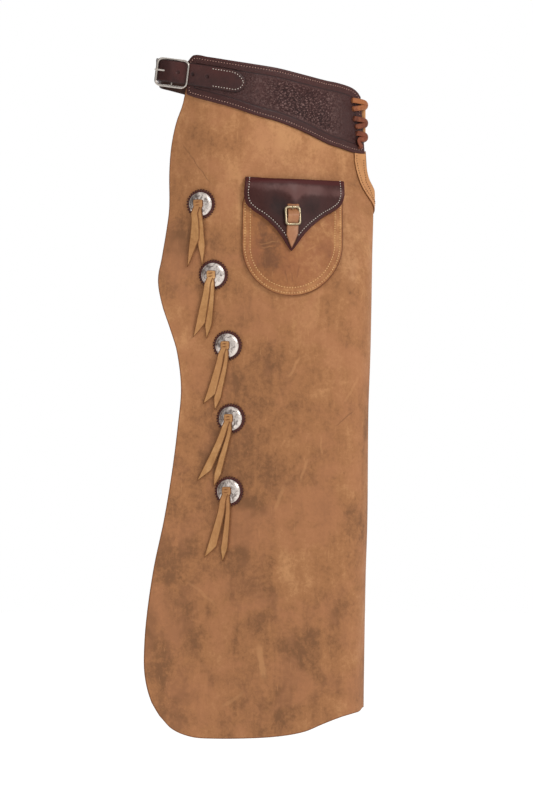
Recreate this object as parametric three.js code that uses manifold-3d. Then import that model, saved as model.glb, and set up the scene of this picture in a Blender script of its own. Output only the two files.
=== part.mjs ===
// Batwing chaps: two leather legs with free batwing edges, hung from a laced and buckled yoke.
// Millimetres. X points forward, Y to the wearer's left, Z up. The origin is the centre of the waist loop.
import * as THREE from "three";
import { mergeVertices } from "three/addons/utils/BufferGeometryUtils.js";
import Module from "manifold-3d";

const wasm = await Module();
wasm.setup();

// Driving dimensions of the legs
const legDrop = 931; // waist centre down to the lowest point of the hem
const frontReach = 166; // waist centre forward to the front fold of the thigh
const wingReach = 169; // waist centre back to the widest point of the batwing edge
const legThickness = 2.2;
const noseDepth = 38; // front fold, measured forward
const noseHalf = 50; // half the width of the leg tube
const legMiddle = 62; // centre of the leg tube from the middle plane, at the thigh
const legSplay = 8; // how much further out the tube stands at the hem
const tieOut = 87; // distance of the tie line from the middle plane
const wingFlare = 22; // outward turn of the wing's lower corner
const lapWidth = 14; // inner wall past the tie line
const lapGap = 0.7; // air between the two walls where they lap
const hemOpening = 24; // extra air between the loose walls at the hem
const centreGap = 8; // each side's front end from the middle plane
const legGap = 3; // leg leather from the middle plane at the cut-out
const releaseDrop = 290; // the leg has taken its own form this far below the waist centre
const seat = 0.4; // air between a leg and its binding
const pocketSeat = 1.7; // air between a leg and the patch pocket
const tuck = 8; // leg leather behind the yoke
const tuckFront = 2.2; // the same at the laced front
const clearance = 0.3; // air between pieces that lie on each other

// Driving dimensions of the waist loop
const frontX = 153; // front end of each yoke
const frontAngle = THREE.MathUtils.degToRad(36);
const frontStraight = 89;
const sideRadius = 200;
const rearRadius = 150;
const buckleAngle = THREE.MathUtils.degToRad(28);
const buckleStraight = 45;
const cornerRadius = 14;

// Driving dimensions of the yoke
const yokeBack = 107.5; // rear end of each yoke behind the waist centre
const yokeTop = 65.7; // highest point above the waist centre
const yokeDip = 77; // lowest point below it
const yokeThickness = 3.2;
const yokeLean = 6; // the front end runs back this far at its top

// Driving dimensions of the belt and its buckle
const strapWidth = 32;
const strapThickness = 2.5;
const billetReach = 111; // pointed tip ahead of the buckle's centre bar
const tipLength = 20;
const buckleHeight = 41; // buckle centre above the waist centre
const buckleLong = 54;
const buckleTall = 43;
const buckleWire = 3.2;
const buckleCorner = 8;
const buckleSlope = 0.14; // fall of the belt towards the front
const centreBarDrop = 1.5; // the centre bar lies this much deeper than the frame
const chapeThickness = 1.5;
const chapeWidth = 27;
const prongWire = 2.4;
const prongSlot = 5.4;

// Driving dimensions of the front lacing
const laceWide = 5.2;
const laceThin = 2.8;
const laceHole = 3.8; // radius
const laceFront = 156.3; // where the strands cross in the middle plane

// Driving dimensions of the binding along the crotch cut-out
const bindingThickness = 1.6;
const bindingInset = 0.6;

// Driving dimensions of the pocket
const pocketX = 47.6; // middle of the pocket ahead of the waist centre
const pocketTop = 118; // below the waist centre
const pocketHalf = 73.2;
const pocketStraight = 94;
const pocketRound = 74;
const pocketThickness = 1.8;
const pocketCrown = 3.5;
const flapTop = 113.5;
const flapHalf = 71.5;
const flapDrop = 106;
const flapThickness = 2.2;
const flapLean = 0.047; // fall of the flap's top edge towards the front
const smallStrapWidth = 16;
const smallStrapThickness = 1.5;
const smallStrapTop = 151; // slot in the flap, below the waist centre
const smallStrapTip = 216;
const smallBuckleZ = 168.5; // middle of the pocket's buckle, below the waist centre
const smallBuckleWide = 24;
const smallBuckleTall = 29;
const smallBuckleWire = 2;
const smallBuckleCorner = 4;

// Driving dimensions of the conchos and their ties
const conchoRadius = 17.6;
const conchoRim = 1.2;
const conchoHeight = 5;
const rosetteRadius = 20.6;
const rosetteThickness = 1.8;
const rosetteSeat = 1;
const scallops = 16;
const scallopDepth = 1.2;
const tieLength = 93;
const tieThickness = 2;
const tieBlockWide = 13;
const tieBlockTall = 12;
const tieShift = 3; // the block sits this far behind the concho's centre
const leftTail = 11.5;
const rightTail = 9.5;

// The free batwing edge: drop in shares of legDrop, reach in shares of wingReach
const wingEdge = [
  { drop: -0.02, reach: 0.64 },
  { drop: 0.006, reach: 0.67 },
  { drop: 0.034, reach: 0.726 },
  { drop: 0.072, reach: 0.769 },
  { drop: 0.113, reach: 0.786 },
  { drop: 0.169, reach: 0.786 },
  { drop: 0.207, reach: 0.812 },
  { drop: 0.245, reach: 0.847 },
  { drop: 0.282, reach: 0.881 },
  { drop: 0.32, reach: 0.847 },
  { drop: 0.358, reach: 0.778 },
  { drop: 0.395, reach: 0.717 },
  { drop: 0.452, reach: 0.682 },
  { drop: 0.508, reach: 0.708 },
  { drop: 0.583, reach: 0.76 },
  { drop: 0.659, reach: 0.829 },
  { drop: 0.734, reach: 0.916 },
  { drop: 0.809, reach: 0.976 },
  { drop: 0.862, reach: 0.998 },
  { drop: 0.903, reach: 0.993 },
  { drop: 0.941, reach: 0.942 },
  { drop: 0.966, reach: 0.864 },
];

// The front fold: drop in shares of legDrop, reach in shares of frontReach
const foldLine = [
  { drop: 0, reach: 1 },
  { drop: 0.17, reach: 0.998 },
  { drop: 0.245, reach: 0.985 },
  { drop: 0.395, reach: 0.968 },
  { drop: 0.488, reach: 0.95 },
  { drop: 0.659, reach: 0.941 },
  { drop: 0.752, reach: 0.925 },
  { drop: 0.903, reach: 0.911 },
  { drop: 1, reach: 0.905 },
];

// The line of the ties behind: drop in shares of legDrop, reach back in shares of wingReach
const tieLine = [
  { drop: -0.05, reach: 0.6 },
  { drop: 0.163, reach: 0.508 },
  { drop: 0.274, reach: 0.401 },
  { drop: 0.385, reach: 0.279 },
  { drop: 0.4995, reach: 0.2485 },
  { drop: 0.614, reach: 0.2645 },
  { drop: 0.75, reach: 0.29 },
  { drop: 1, reach: 0.34 },
];

// The hem from the rounded rear corner to the fold: across in shares of the hem, drop in shares of legDrop
const hemReach = [0.864, 0.897]; // rear corner and front corner in shares of wingReach and frontReach
const hem = [
  { across: 0, drop: 0.966 },
  { across: 0.059, drop: 0.986 },
  { across: 0.148, drop: 0.997 },
  { across: 0.247, drop: 1 },
  { across: 0.445, drop: 0.9995 },
  { across: 0.594, drop: 0.9955 },
  { across: 0.7125, drop: 0.989 },
  { across: 0.802, drop: 0.977 },
  { across: 0.891, drop: 0.9645 },
  { across: 0.95, drop: 0.958 },
  { across: 1, drop: 0.945 },
];

// The crotch cut-out past the yoke: turn is the place round the leg, drop in shares of legDrop
const crotch = [
  { turn: 0.9, drop: 0.088 },
  { turn: 0.906, drop: 0.103 },
  { turn: 0.923, drop: 0.119 },
  { turn: 0.955, drop: 0.13 },
  { turn: 1, drop: 0.14 },
  { turn: 1.07, drop: 0.156 },
  { turn: 1.2, drop: 0.176 },
  { turn: 1.45, drop: 0.19 },
  { turn: 1.75, drop: 0.176 },
  { turn: 2, drop: 0.147 },
];

// The yoke: along its length from the rear end, top in shares of yokeTop, bottom in shares of yokeDip
const yokeEdges = [
  { along: 0, top: 0.845, bottom: 0.114 },
  { along: 0.039, top: 1, bottom: 0.057 },
  { along: 0.123, top: 0.956, bottom: -0.02 },
  { along: 0.257, top: 0.866, bottom: -0.152 },
  { along: 0.391, top: 0.778, bottom: -0.304 },
  { along: 0.525, top: 0.69, bottom: -0.436 },
  { along: 0.659, top: 0.556, bottom: -0.626 },
  { along: 0.793, top: 0.422, bottom: -0.853 },
  { along: 0.86, top: 0.356, bottom: -0.929 },
  { along: 0.927, top: 0.244, bottom: -0.995 },
  { along: 0.961, top: 0.134, bottom: -1 },
  { along: 1, top: 0.03, bottom: -0.993 },
];

// The long strap from its tip round the back: along in shares of its run, height in shares of buckleHeight
const beltHeights = [
  { along: 0, height: 0.62 },
  { along: 0.37, height: 1 },
  { along: 0.47, height: 1.06 },
  { along: 0.68, height: 1.02 },
  { along: 1, height: 0.78 },
];

// Lace holes: back from the yoke's front end and height, in shares of yokeDip
const laceHoles = [
  { back: 0.3, height: 0.038 },
  { back: 0.3, height: -0.19 },
  { back: 0.28, height: -0.335 },
  { back: 0.22, height: -0.52 },
  { back: 0.2, height: -0.63 },
  { back: 0.18, height: -0.765 },
  { back: 0.12, height: -0.89 },
];

// The flap's outline: drop in shares of flapDrop, half width in shares of flapHalf
const flapOutline = [
  { drop: 0, half: 0.99 },
  { drop: 0.12, half: 1 },
  { drop: 0.23, half: 1.005 },
  { drop: 0.36, half: 0.95 },
  { drop: 0.45, half: 0.81 },
  { drop: 0.54, half: 0.6 },
  { drop: 0.67, half: 0.38 },
  { drop: 0.8, half: 0.215 },
  { drop: 0.925, half: 0.095 },
  { drop: 1, half: 0.012 },
];

// Tail tips of each tie from its concho's centre, in shares of tieLength; place is the concho's drop
const ties = [
  { place: 0.163, leftBack: 0.214, leftDown: 0.984, rightBack: -0.005, rightDown: 0.92 },
  { place: 0.2737, leftBack: 0.322, leftDown: 0.977, rightBack: 0.109, rightDown: 1.0 },
  { place: 0.3848, leftBack: 0.386, leftDown: 0.919, rightBack: 0.198, rightDown: 1.012 },
  { place: 0.4996, leftBack: 0.534, leftDown: 0.975, rightBack: 0.269, rightDown: 1.069 },
  { place: 0.614, leftBack: 0.388, leftDown: 1.039, rightBack: 0.1, rightDown: 1.1 },
];

// How far a tail stands off the leg, against its distance below the concho's centre
const tailLift = [
  { below: 0, lift: 1 },
  { below: 0.5, lift: 1 },
  { below: 0.8, lift: 0.9 },
  { below: 1.05, lift: 0.7 },
  { below: 1.3, lift: 0.47 },
  { below: 2.1, lift: 0.17 },
  { below: 4, lift: 0.12 },
];

// The binding's inner edge, read as the cut-out is
const bindingEdge = [
  { turn: 0.831, drop: 0.092 },
  { turn: 0.842, drop: 0.109 },
  { turn: 0.866, drop: 0.13 },
  { turn: 0.9, drop: 0.145 },
  { turn: 0.954, drop: 0.16 },
  { turn: 1, drop: 0.1695 },
  { turn: 1.07, drop: 0.18 },
  { turn: 1.2, drop: 0.197 },
  { turn: 1.45, drop: 0.209 },
  { turn: 1.75, drop: 0.194 },
  { turn: 2, drop: 0.165 },
];

const mix = THREE.MathUtils.lerp;
const ease = THREE.MathUtils.smoothstep;

// A smooth curve through two columns of a table, held at its ends.
function follow(rows, from, to) {
  const slope = (i) => {
    const a = rows[Math.max(i - 1, 0)];
    const b = rows[Math.min(i + 1, rows.length - 1)];
    return (b[to] - a[to]) / (b[from] - a[from]);
  };
  return (k) => {
    if (k <= rows[0][from]) return rows[0][to];
    if (k >= rows.at(-1)[from]) return rows.at(-1)[to];
    let i = 0;
    while (k > rows[i + 1][from]) i++;
    const span = rows[i + 1][from] - rows[i][from];
    const t = (k - rows[i][from]) / span;
    const start = rows[i][to] * (2 * t ** 3 - 3 * t ** 2 + 1);
    const end = rows[i + 1][to] * (3 * t ** 2 - 2 * t ** 3);
    return start + end + span * (slope(i) * (t ** 3 - 2 * t ** 2 + t) + slope(i + 1) * (t ** 3 - t ** 2));
  };
}

// Closed meshes
function closed(points, faces) {
  const geometry = new THREE.BufferGeometry();
  geometry.setAttribute("position", new THREE.Float32BufferAttribute(points, 3));
  let volume = 0;
  const corner = (i) => new THREE.Vector3().fromArray(points, 3 * i);
  for (let i = 0; i < faces.length; i += 3)
    volume += corner(faces[i]).dot(corner(faces[i + 1]).cross(corner(faces[i + 2])));
  geometry.setIndex(volume < 0 ? faces.toReversed() : faces);
  return geometry;
}

// A wall between two grids of points, joined all round its rim.
function sheet(across, along, outer, inner) {
  const points = [];
  for (const face of [outer, inner])
    for (let j = 0; j <= along; j++)
      for (let i = 0; i <= across; i++) points.push(...face(i / across, j / along));
  const row = across + 1;
  const grid = row * (along + 1);
  const last = row * along;
  const faces = [];
  const quad = (a, b, c, d) => faces.push(a, b, c, a, c, d);
  for (let j = 0; j < along; j++)
    for (let i = 0; i < across; i++) {
      const a = j * row + i;
      quad(a, a + 1, a + row + 1, a + row);
      quad(grid + a, grid + a + row, grid + a + row + 1, grid + a + 1);
    }
  for (let i = 0; i < across; i++) {
    quad(i + 1, i, grid + i, grid + i + 1);
    quad(last + i, last + i + 1, grid + last + i + 1, grid + last + i);
  }
  for (let j = 0; j < along; j++) {
    const a = j * row;
    const b = a + across;
    quad(a, a + row, grid + a + row, grid + a);
    quad(b + row, b, grid + b, grid + b + row);
  }
  return closed(points, faces);
}

// A strip or wire with an oval section carried along a path.
function wire(path, count, wide, thin, sides, startWide) {
  const points = [];
  const at = Array.from({ length: count + 1 }, (_, i) => path.getPointAt(i / count));
  let side = startWide.clone();
  at.forEach((p, i) => {
    const tangent = path.getTangentAt(i / count);
    side = side.addScaledVector(tangent, -side.dot(tangent)).normalize();
    const up = tangent.clone().cross(side);
    for (let k = 0; k < sides; k++) {
      const a = ((k + 0.5) / sides) * 2 * Math.PI;
      const q = p.clone().addScaledVector(side, (Math.cos(a) * wide) / 2);
      points.push(...q.addScaledVector(up, (Math.sin(a) * thin) / 2));
    }
  });
  const faces = ringFaces(count, sides, count + 1);
  const end = count * sides;
  for (let k = 1; k < sides - 1; k++) faces.push(0, k + 1, k, end, end + k, end + k + 1);
  return closed(points, faces);
}

// Faces between each ring of points and the next one.
function ringFaces(steps, sides, rings) {
  const faces = [];
  for (let i = 0; i < steps; i++)
    for (let k = 0; k < sides; k++) {
      const next = (k + 1) % sides;
      const above = ((i + 1) % rings) * sides;
      faces.push(i * sides + k, i * sides + next, above + next);
      faces.push(i * sides + k, above + next, above + k);
    }
  return faces;
}

function toSolid(geometry) {
  const bare = geometry.clone();
  bare.deleteAttribute("normal");
  bare.deleteAttribute("uv");
  const merged = mergeVertices(bare, 1e-4);
  const vertProperties = merged.attributes.position.array;
  const triVerts = new Uint32Array(merged.index.array);
  return new wasm.Manifold(new wasm.Mesh({ numProp: 3, vertProperties, triVerts }));
}

function fromSolid(solid) {
  const made = solid.getMesh();
  const geometry = new THREE.BufferGeometry();
  geometry.setAttribute("position", new THREE.Float32BufferAttribute(made.vertProperties, 3));
  geometry.setIndex([...made.triVerts]);
  return geometry;
}

const join = (first, ...others) => fromSolid(others.reduce((a, b) => a.add(toSolid(b)), toSolid(first)));
const cut = (first, ...tools) =>
  fromSolid(tools.reduce((a, b) => a.subtract(toSolid(b)), toSolid(first)));

// The waist loop seen from above: runs of straight and curved leather from the front end to the middle back
const waistRuns = [
  { length: frontStraight, bend: 0 },
  { length: sideRadius * frontAngle, bend: -1 / sideRadius },
  { length: rearRadius * buckleAngle, bend: -1 / rearRadius },
  { length: buckleStraight, bend: 0 },
  { length: cornerRadius * (Math.PI / 2 - buckleAngle), bend: -1 / cornerRadius },
];
const buckleStart = waistRuns[0].length + waistRuns[1].length + waistRuns[2].length;
const buckleS = buckleStart + buckleStraight / 2;
const cornerEnd = waistRuns.reduce((sum, run) => sum + run.length, 0);

function walk(s) {
  let x = frontX;
  let y = -centreGap;
  let heading = frontAngle;
  let left = s;
  for (const run of waistRuns) {
    const part = Math.min(left, run.length);
    if (run.bend === 0) {
      x -= part * Math.cos(heading);
      y -= part * Math.sin(heading);
    } else {
      const turned = heading + part * run.bend;
      x -= (Math.sin(turned) - Math.sin(heading)) / run.bend;
      y += (Math.cos(turned) - Math.cos(heading)) / run.bend;
      heading = turned;
    }
    left -= part;
    if (left <= 0) return { x, y, heading };
  }
  return { x, y: y + left, heading };
}
const waistHalf = cornerEnd - walk(cornerEnd).y;

// A point of the waist loop at run s, height z and offset outwards; past the middle back it is mirrored.
function onWaist(s, z, offset) {
  const far = s > waistHalf;
  const { x, y, heading } = walk(far ? 2 * waistHalf - s : s);
  const side = y - offset * Math.cos(heading);
  return [x + offset * Math.sin(heading), far ? -side : side, z];
}

// The run at which the offset waist loop reaches x.
function waistRun(x, offset = 0) {
  let low = -frontStraight;
  let high = cornerEnd;
  for (let i = 0; i < 40; i++) {
    const middle = (low + high) / 2;
    if (onWaist(middle, 0, offset)[0] > x) low = middle;
    else high = middle;
  }
  return low;
}

// The yoke
const yokeShare = (x) => (x + yokeBack) / (frontX + yokeBack);
const yokeTopAt = follow(yokeEdges, "along", "top");
const yokeBottomAt = follow(yokeEdges, "along", "bottom");
const yokeBottomZ = (x) => yokeDip * yokeBottomAt(yokeShare(x));

function laceHoleAt(hole) {
  return { s: hole.back * yokeDip, z: hole.height * yokeDip };
}

function makeYoke() {
  const place = (offset) => (u, v) => {
    const z = mix(yokeDip * yokeBottomAt(u), yokeTop * yokeTopAt(u), v);
    const x = mix(-yokeBack, frontX - yokeLean * v, u);
    return onWaist(waistRun(x), z, offset);
  };
  const plate = sheet(22, 1, place(0), place(-yokeThickness));
  const holes = laceHoles.map((hole) => {
    const { s, z } = laceHoleAt(hole);
    const start = new THREE.Vector3(...onWaist(s, z, 3 * yokeThickness));
    const end = new THREE.Vector3(...onWaist(s, z, -4 * yokeThickness));
    const up = new THREE.Vector3(0, 0, 1);
    return wire(new THREE.LineCurve3(start, end), 1, 2 * laceHole, 2 * laceHole, 6, up);
  });
  return cut(plate, ...holes);
}

// The leg: a turn of -1 is the batwing edge, 0 the tie line, 1 the front fold, 2 the inner rear edge
const wingShare = follow(wingEdge, "drop", "reach");
const foldShare = follow(foldLine, "drop", "reach");
const tieShare = follow(tieLine, "drop", "reach");
const hemShare = follow(hem, "across", "drop");
const crotchShare = follow(crotch, "turn", "drop");
const bindingShare = follow(bindingEdge, "turn", "drop");
const wingX = (z) => -wingReach * wingShare(-z / legDrop);
const foldX = (z) => frontReach * foldShare(-z / legDrop);
const tieX = (z) => -wingReach * tieShare(-z / legDrop);
const noseTurn = 0.8;
const middleY = (z) => -legMiddle - (legSplay * -z) / legDrop;
const release = (z) => ease(-z, yokeDip, releaseDrop); // 0 where the leg follows the yoke, 1 at the thigh
const underYoke = -yokeThickness - 2 * clearance;
const waistY = (x) => onWaist(waistRun(x, underYoke), 0, underYoke)[1];

// The y of the outer wall behind the front fold.
function outerY(x, z) {
  const back = tieX(z);
  const nose = foldX(z) - noseDepth;
  const side = middleY(z) - noseHalf;
  const rise = ((tieOut + side) * Math.PI) / 2 / (nose - back);
  let tube = mix(-tieOut, side, Math.sin(((x - back) / (nose - back)) * (Math.PI / 2)));
  if (x < back) {
    const share = (back - x) / (back - wingX(z));
    const inward = -rise * (back - x) * (1 - share / 2);
    tube = -tieOut + inward - wingFlare * share ** 2 * ease(-z, 0.55 * legDrop, legDrop);
  }
  return mix(waistY(x), tube, release(z));
}

// A point of the leg's outer face.
function legPoint(turn, z) {
  const nose = foldX(z) - noseDepth;
  const free = release(z);
  if (turn < noseTurn) {
    const x = turn < 0 ? mix(tieX(z), wingX(z), -turn) : mix(tieX(z), nose, turn / noseTurn);
    return new THREE.Vector3(x, outerY(x, z), z);
  }
  if (turn <= 2 - noseTurn) {
    const angle = ((turn - 1) / (1 - noseTurn)) * (Math.PI / 2);
    const x = nose + noseDepth * Math.cos(angle);
    const flat = angle < 0 ? Math.min(waistY(x), -legGap) : -legGap;
    return new THREE.Vector3(x, mix(flat, middleY(z) + noseHalf * Math.sin(angle), free), z);
  }
  const share = (2 - turn) / noseTurn;
  const x = mix(tieX(z) - lapWidth, nose, share);
  const open = hemOpening * ease(-z, 0.64 * legDrop, legDrop);
  const lap = outerY(x, z) + 2.4 * legThickness + lapGap + open;
  const inner = mix(-legGap, middleY(z) + noseHalf, free);
  return new THREE.Vector3(x, mix(lap, inner, ease(share, 0, 1)), z);
}

function legNormal(turn, z) {
  const step = 0.002;
  const along = legPoint(turn + step, z).sub(legPoint(turn - step, z));
  const up = legPoint(turn, z + 1).sub(legPoint(turn, z - 1));
  return along.cross(up).normalize();
}

const legOffset = (turn, z, offset) => legPoint(turn, z).addScaledVector(legNormal(turn, z), offset);

// The turn at which the outer wall reaches x.
function turnAt(x, z) {
  const nose = foldX(z) - noseDepth;
  const back = tieX(z);
  if (x < back) return -(back - x) / (back - wingX(z));
  if (x <= nose) return (noseTurn * (x - back)) / (nose - back);
  return 1 - ((1 - noseTurn) * Math.acos(Math.min((x - nose) / noseDepth, 1))) / (Math.PI / 2);
}

function hemZ(turn) {
  const rear = -wingReach * hemReach[0];
  const front = frontReach * hemReach[1];
  let z = -legDrop;
  for (let i = 0; i < 8; i++) z = -legDrop * hemShare((legPoint(turn, z).x - rear) / (front - rear));
  return z;
}

function topZ(turn) {
  if (turn > crotch[0].turn) return -legDrop * crotchShare(turn);
  let z = 0;
  for (let i = 0; i < 8; i++) {
    const x = legPoint(turn, z).x;
    z = yokeBottomZ(x) + mix(tuck, tuckFront, ease(yokeShare(x), 0.6, 0.92));
  }
  return z;
}

// Columns of the leg's wall, closest together round the front fold, and the heights of its rows
const legTurns = [
  [-1, 0, 3],
  [0, 0.8, 7],
  [0.8, bindingEdge[0].turn, 1],
  [bindingEdge[0].turn, 0.9, 3],
  [0.9, 0.93, 2],
  [0.93, 1.2, 5],
  [1.2, 2, 6],
].flatMap(([from, to, count]) => Array.from({ length: count }, (_, i) => mix(from, to, i / count)));
legTurns.push(2);
const lowerRows = 13;
const plainEdge = 0.03; // first two rows where there is no binding, in shares of legDrop

const legColumns = legTurns.map((turn) => {
  const top = topZ(turn);
  const bottom = hemZ(turn);
  const bound = turn >= bindingEdge[0].turn ? -legDrop * bindingShare(turn) : top - plainEdge * legDrop;
  const rows = Array.from({ length: lowerRows + 1 }, (_, i) => {
    const share = i / lowerRows;
    return mix(bound, bottom, share * mix(0.6, 1, share)); // rows lie closer together towards the top
  });
  return { turn, rows: [top, (top + bound) / 2, ...rows] };
});

function makeLeg() {
  const rows = lowerRows + 2;
  const face = (offset) => (u, v) => {
    const column = legColumns[Math.round(u * (legColumns.length - 1))];
    return legOffset(column.turn, column.rows[Math.round(v * rows)], offset);
  };
  return sheet(legColumns.length - 1, rows, face(0), face(-legThickness));
}

// A point over the leg's wall as built, flat between its columns and rows.
function onLeg(x, z, offset) {
  const turn = turnAt(x, z);
  const i = Math.max(legTurns.findLastIndex((t) => t <= turn), 0);
  const [before, after] = [legColumns[i], legColumns[i + 1]];
  const across = (turn - before.turn) / (after.turn - before.turn);
  const level = (j) => mix(before.rows[j], after.rows[j], across);
  let j = 0;
  while (j < lowerRows + 1 && level(j + 1) > z) j++;
  const down = (level(j) - z) / (level(j) - level(j + 1));
  const corner = (column, row) => legPoint(column.turn, column.rows[row]);
  const at = (row) => corner(before, row).lerp(corner(after, row), across);
  return at(j).lerp(at(j + 1), down).addScaledVector(legNormal(turn, z), offset);
}

// The binding lies on the leg's first two rows, from the yoke round the fold to the tie line.
function makeBinding() {
  const columns = legColumns.filter(({ turn }) => turn >= bindingEdge[0].turn);
  const face = (offset) => (u, v) => {
    const { turn, rows } = columns[Math.round(u * (columns.length - 1))];
    const top = legPoint(turn, rows[0]);
    const next = legPoint(turn, rows[1]);
    const edge = Math.min(rows[0] - bindingInset, yokeBottomZ(top.x) - clearance);
    if (v > 0) return legOffset(turn, rows[Math.round(2 * v)], offset);
    const share = (rows[0] - edge) / (rows[0] - rows[1]);
    return top.lerp(next, share).addScaledVector(legNormal(turn, rows[0]), offset);
  };
  return sheet(columns.length - 1, 2, face(seat + bindingThickness), face(seat));
}

// The pocket, a little full in its middle
function pocketLift(x, z) {
  const across = Math.min(Math.abs(x - pocketX) / pocketHalf, 1);
  const half = (pocketStraight + pocketRound) / 2;
  const along = Math.min(Math.abs(z + pocketTop + half) / half, 1);
  return pocketCrown * (1 - across ** 2) * (1 - along ** 2);
}

function makePouch() {
  const rows = 10;
  const straightRows = 4;
  const face = (offset) => (u, v) => {
    const row = Math.round(v * rows);
    const angle = (Math.max(row - straightRows, 0) / (rows - straightRows)) * (Math.PI / 2);
    const straight = (Math.min(row, straightRows) / straightRows) * pocketStraight;
    const z = -pocketTop - straight - pocketRound * Math.sin(angle);
    const x = pocketX + (2 * u - 1) * Math.max(pocketHalf * Math.cos(angle), 3);
    return onLeg(x, z, pocketSeat + pocketLift(x, z) + offset);
  };
  return sheet(5, rows, face(pocketThickness), face(0));
}

const flapBase = pocketSeat + pocketThickness + 5 * clearance;
const flapHalfAt = follow(flapOutline, "drop", "half");

function makeFlap() {
  const face = (offset) => (u, v) => {
    const x = pocketX + (2 * u - 1) * flapHalf * flapHalfAt(v);
    const z = -flapTop - flapDrop * v - flapLean * (x - pocketX) * (1 - v);
    return onLeg(x, z, flapBase + pocketLift(x, z) + offset);
  };
  return sheet(4, 12, face(flapThickness), face(0));
}

// The small strap comes out of the flap, weaves through its buckle and ends on the flap's point.
const strapSeat = flapBase + flapThickness + clearance;
const smallRingLevel = strapSeat + smallStrapThickness + 3 * clearance + smallBuckleWire / 2;
const smallBulge = smallRingLevel + smallBuckleWire / 2 + clearance - strapSeat;

function makeSmallStrap() {
  const face = (offset) => (u, v) => {
    const z = -mix(smallStrapTop, smallStrapTip, v);
    const taper = Math.min(1, (1.03 - v) / 0.3);
    const x = pocketX + (2 * u - 1) * (smallStrapWidth / 2) * taper;
    const away = Math.abs(z + smallBuckleZ) / (smallBuckleTall / 2 - 1.6 * smallBuckleWire);
    const bulge = away < 1 ? smallBulge * Math.cos((away * Math.PI) / 2) ** 1.4 : 0;
    return onLeg(x, z, strapSeat + pocketLift(x, z) + bulge + offset);
  };
  return sheet(1, 14, face(smallStrapThickness), face(0));
}

// A rounded frame with a bar across its middle; across is the bar's direction.
function makeFrame(place, long, tall, corner, thick, barDepth) {
  const half = long / 2 - thick / 2;
  const rise = tall / 2 - thick / 2;
  const at = (a, b) => new THREE.Vector3(...place(a, b, 0));
  const points = [];
  for (const [a, b, turn] of [
    [1, 1, 0],
    [-1, 1, 1],
    [-1, -1, 2],
    [1, -1, 3],
  ])
    for (const step of [0, 0.5, 1]) {
      const angle = (turn + step) * (Math.PI / 2);
      const centre = [a * (half - corner), b * (rise - corner)];
      points.push(at(centre[0] + corner * Math.cos(angle), centre[1] + corner * Math.sin(angle)));
    }
  const normal = new THREE.Vector3(...place(0, 0, 1)).sub(at(0, 0)).normalize();
  const ring = loopThrough(points, normal, thick);
  const barEnd = (b) => new THREE.Vector3(...place(0, b, -barDepth));
  const bar = new THREE.LineCurve3(barEnd(-rise), barEnd(rise));
  return join(ring, wire(bar, 1, thick, thick, 6, normal));
}

// A wire of even thickness round the corners of a flat closed outline.
function loopThrough(points, normal, thick) {
  const sides = 6;
  const ringPoints = [];
  points.forEach((p, i) => {
    const before = points[(i + points.length - 1) % points.length];
    const after = points[(i + 1) % points.length];
    const into = p.clone().sub(before).normalize();
    const out = after.clone().sub(p).normalize();
    const outward = into.clone().add(out).normalize().cross(normal);
    const stretch = 1 / Math.cos(into.angleTo(out) / 2);
    for (let k = 0; k < sides; k++) {
      const a = ((k + 0.5) / sides) * 2 * Math.PI;
      const q = p.clone().addScaledVector(outward, (Math.cos(a) * thick * stretch) / 2);
      ringPoints.push(...q.addScaledVector(normal, (Math.sin(a) * thick) / 2));
    }
  });
  return closed(ringPoints, ringFaces(points.length, sides, points.length));
}

function makeSmallBuckle() {
  const level = smallRingLevel + pocketLift(pocketX, -smallBuckleZ);
  const centre = onLeg(pocketX, -smallBuckleZ, level);
  const normal = legNormal(turnAt(pocketX, -smallBuckleZ), -smallBuckleZ);
  const across = new THREE.Vector3(0, 0, 1).cross(normal).normalize();
  const up = normal.clone().cross(across);
  const place = (a, b, n) =>
    centre.clone().addScaledVector(up, a).addScaledVector(across, b).addScaledVector(normal, n);
  return makeFrame(place, smallBuckleTall, smallBuckleWide, smallBuckleCorner, smallBuckleWire, 0);
}

// Conchos, rosettes and ties
function seated(geometry, x, z, offset) {
  const normal = legNormal(turnAt(x, z), z);
  const across = new THREE.Vector3(0, 0, 1).cross(normal).normalize();
  const up = normal.clone().cross(across);
  const matrix = new THREE.Matrix4().makeBasis(across, up, normal);
  return geometry.clone().applyMatrix4(matrix.setPosition(onLeg(x, z, offset)));
}

function makeRosette() {
  const points = Array.from({ length: 2 * scallops }, (_, i) => {
    const angle = (i / scallops) * Math.PI;
    const radius = rosetteRadius - (i % 2) * scallopDepth;
    return new THREE.Vector2(radius * Math.cos(angle), radius * Math.sin(angle));
  });
  const plate = { depth: rosetteThickness, bevelEnabled: false };
  return new THREE.ExtrudeGeometry(new THREE.Shape(points), plate);
}

function makeConcho() {
  const dome = [0.8, 0.45].map((share) => {
    const height = conchoRim + (conchoHeight - conchoRim) * Math.sqrt(1 - share ** 2.4);
    return new THREE.Vector2(share * conchoRadius, height);
  });
  const profile = [
    new THREE.Vector2(0, 0),
    new THREE.Vector2(conchoRadius, 0),
    new THREE.Vector2(conchoRadius, conchoRim),
    ...dome,
    new THREE.Vector2(0, conchoHeight),
  ];
  return new THREE.LatheGeometry(profile, 12).rotateX(Math.PI / 2);
}

const conchoSeat = rosetteSeat + rosetteThickness + clearance;
const tieSeat = conchoSeat + conchoHeight + 1.5 * clearance;
const liftAt = follow(tailLift, "below", "lift");

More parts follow.
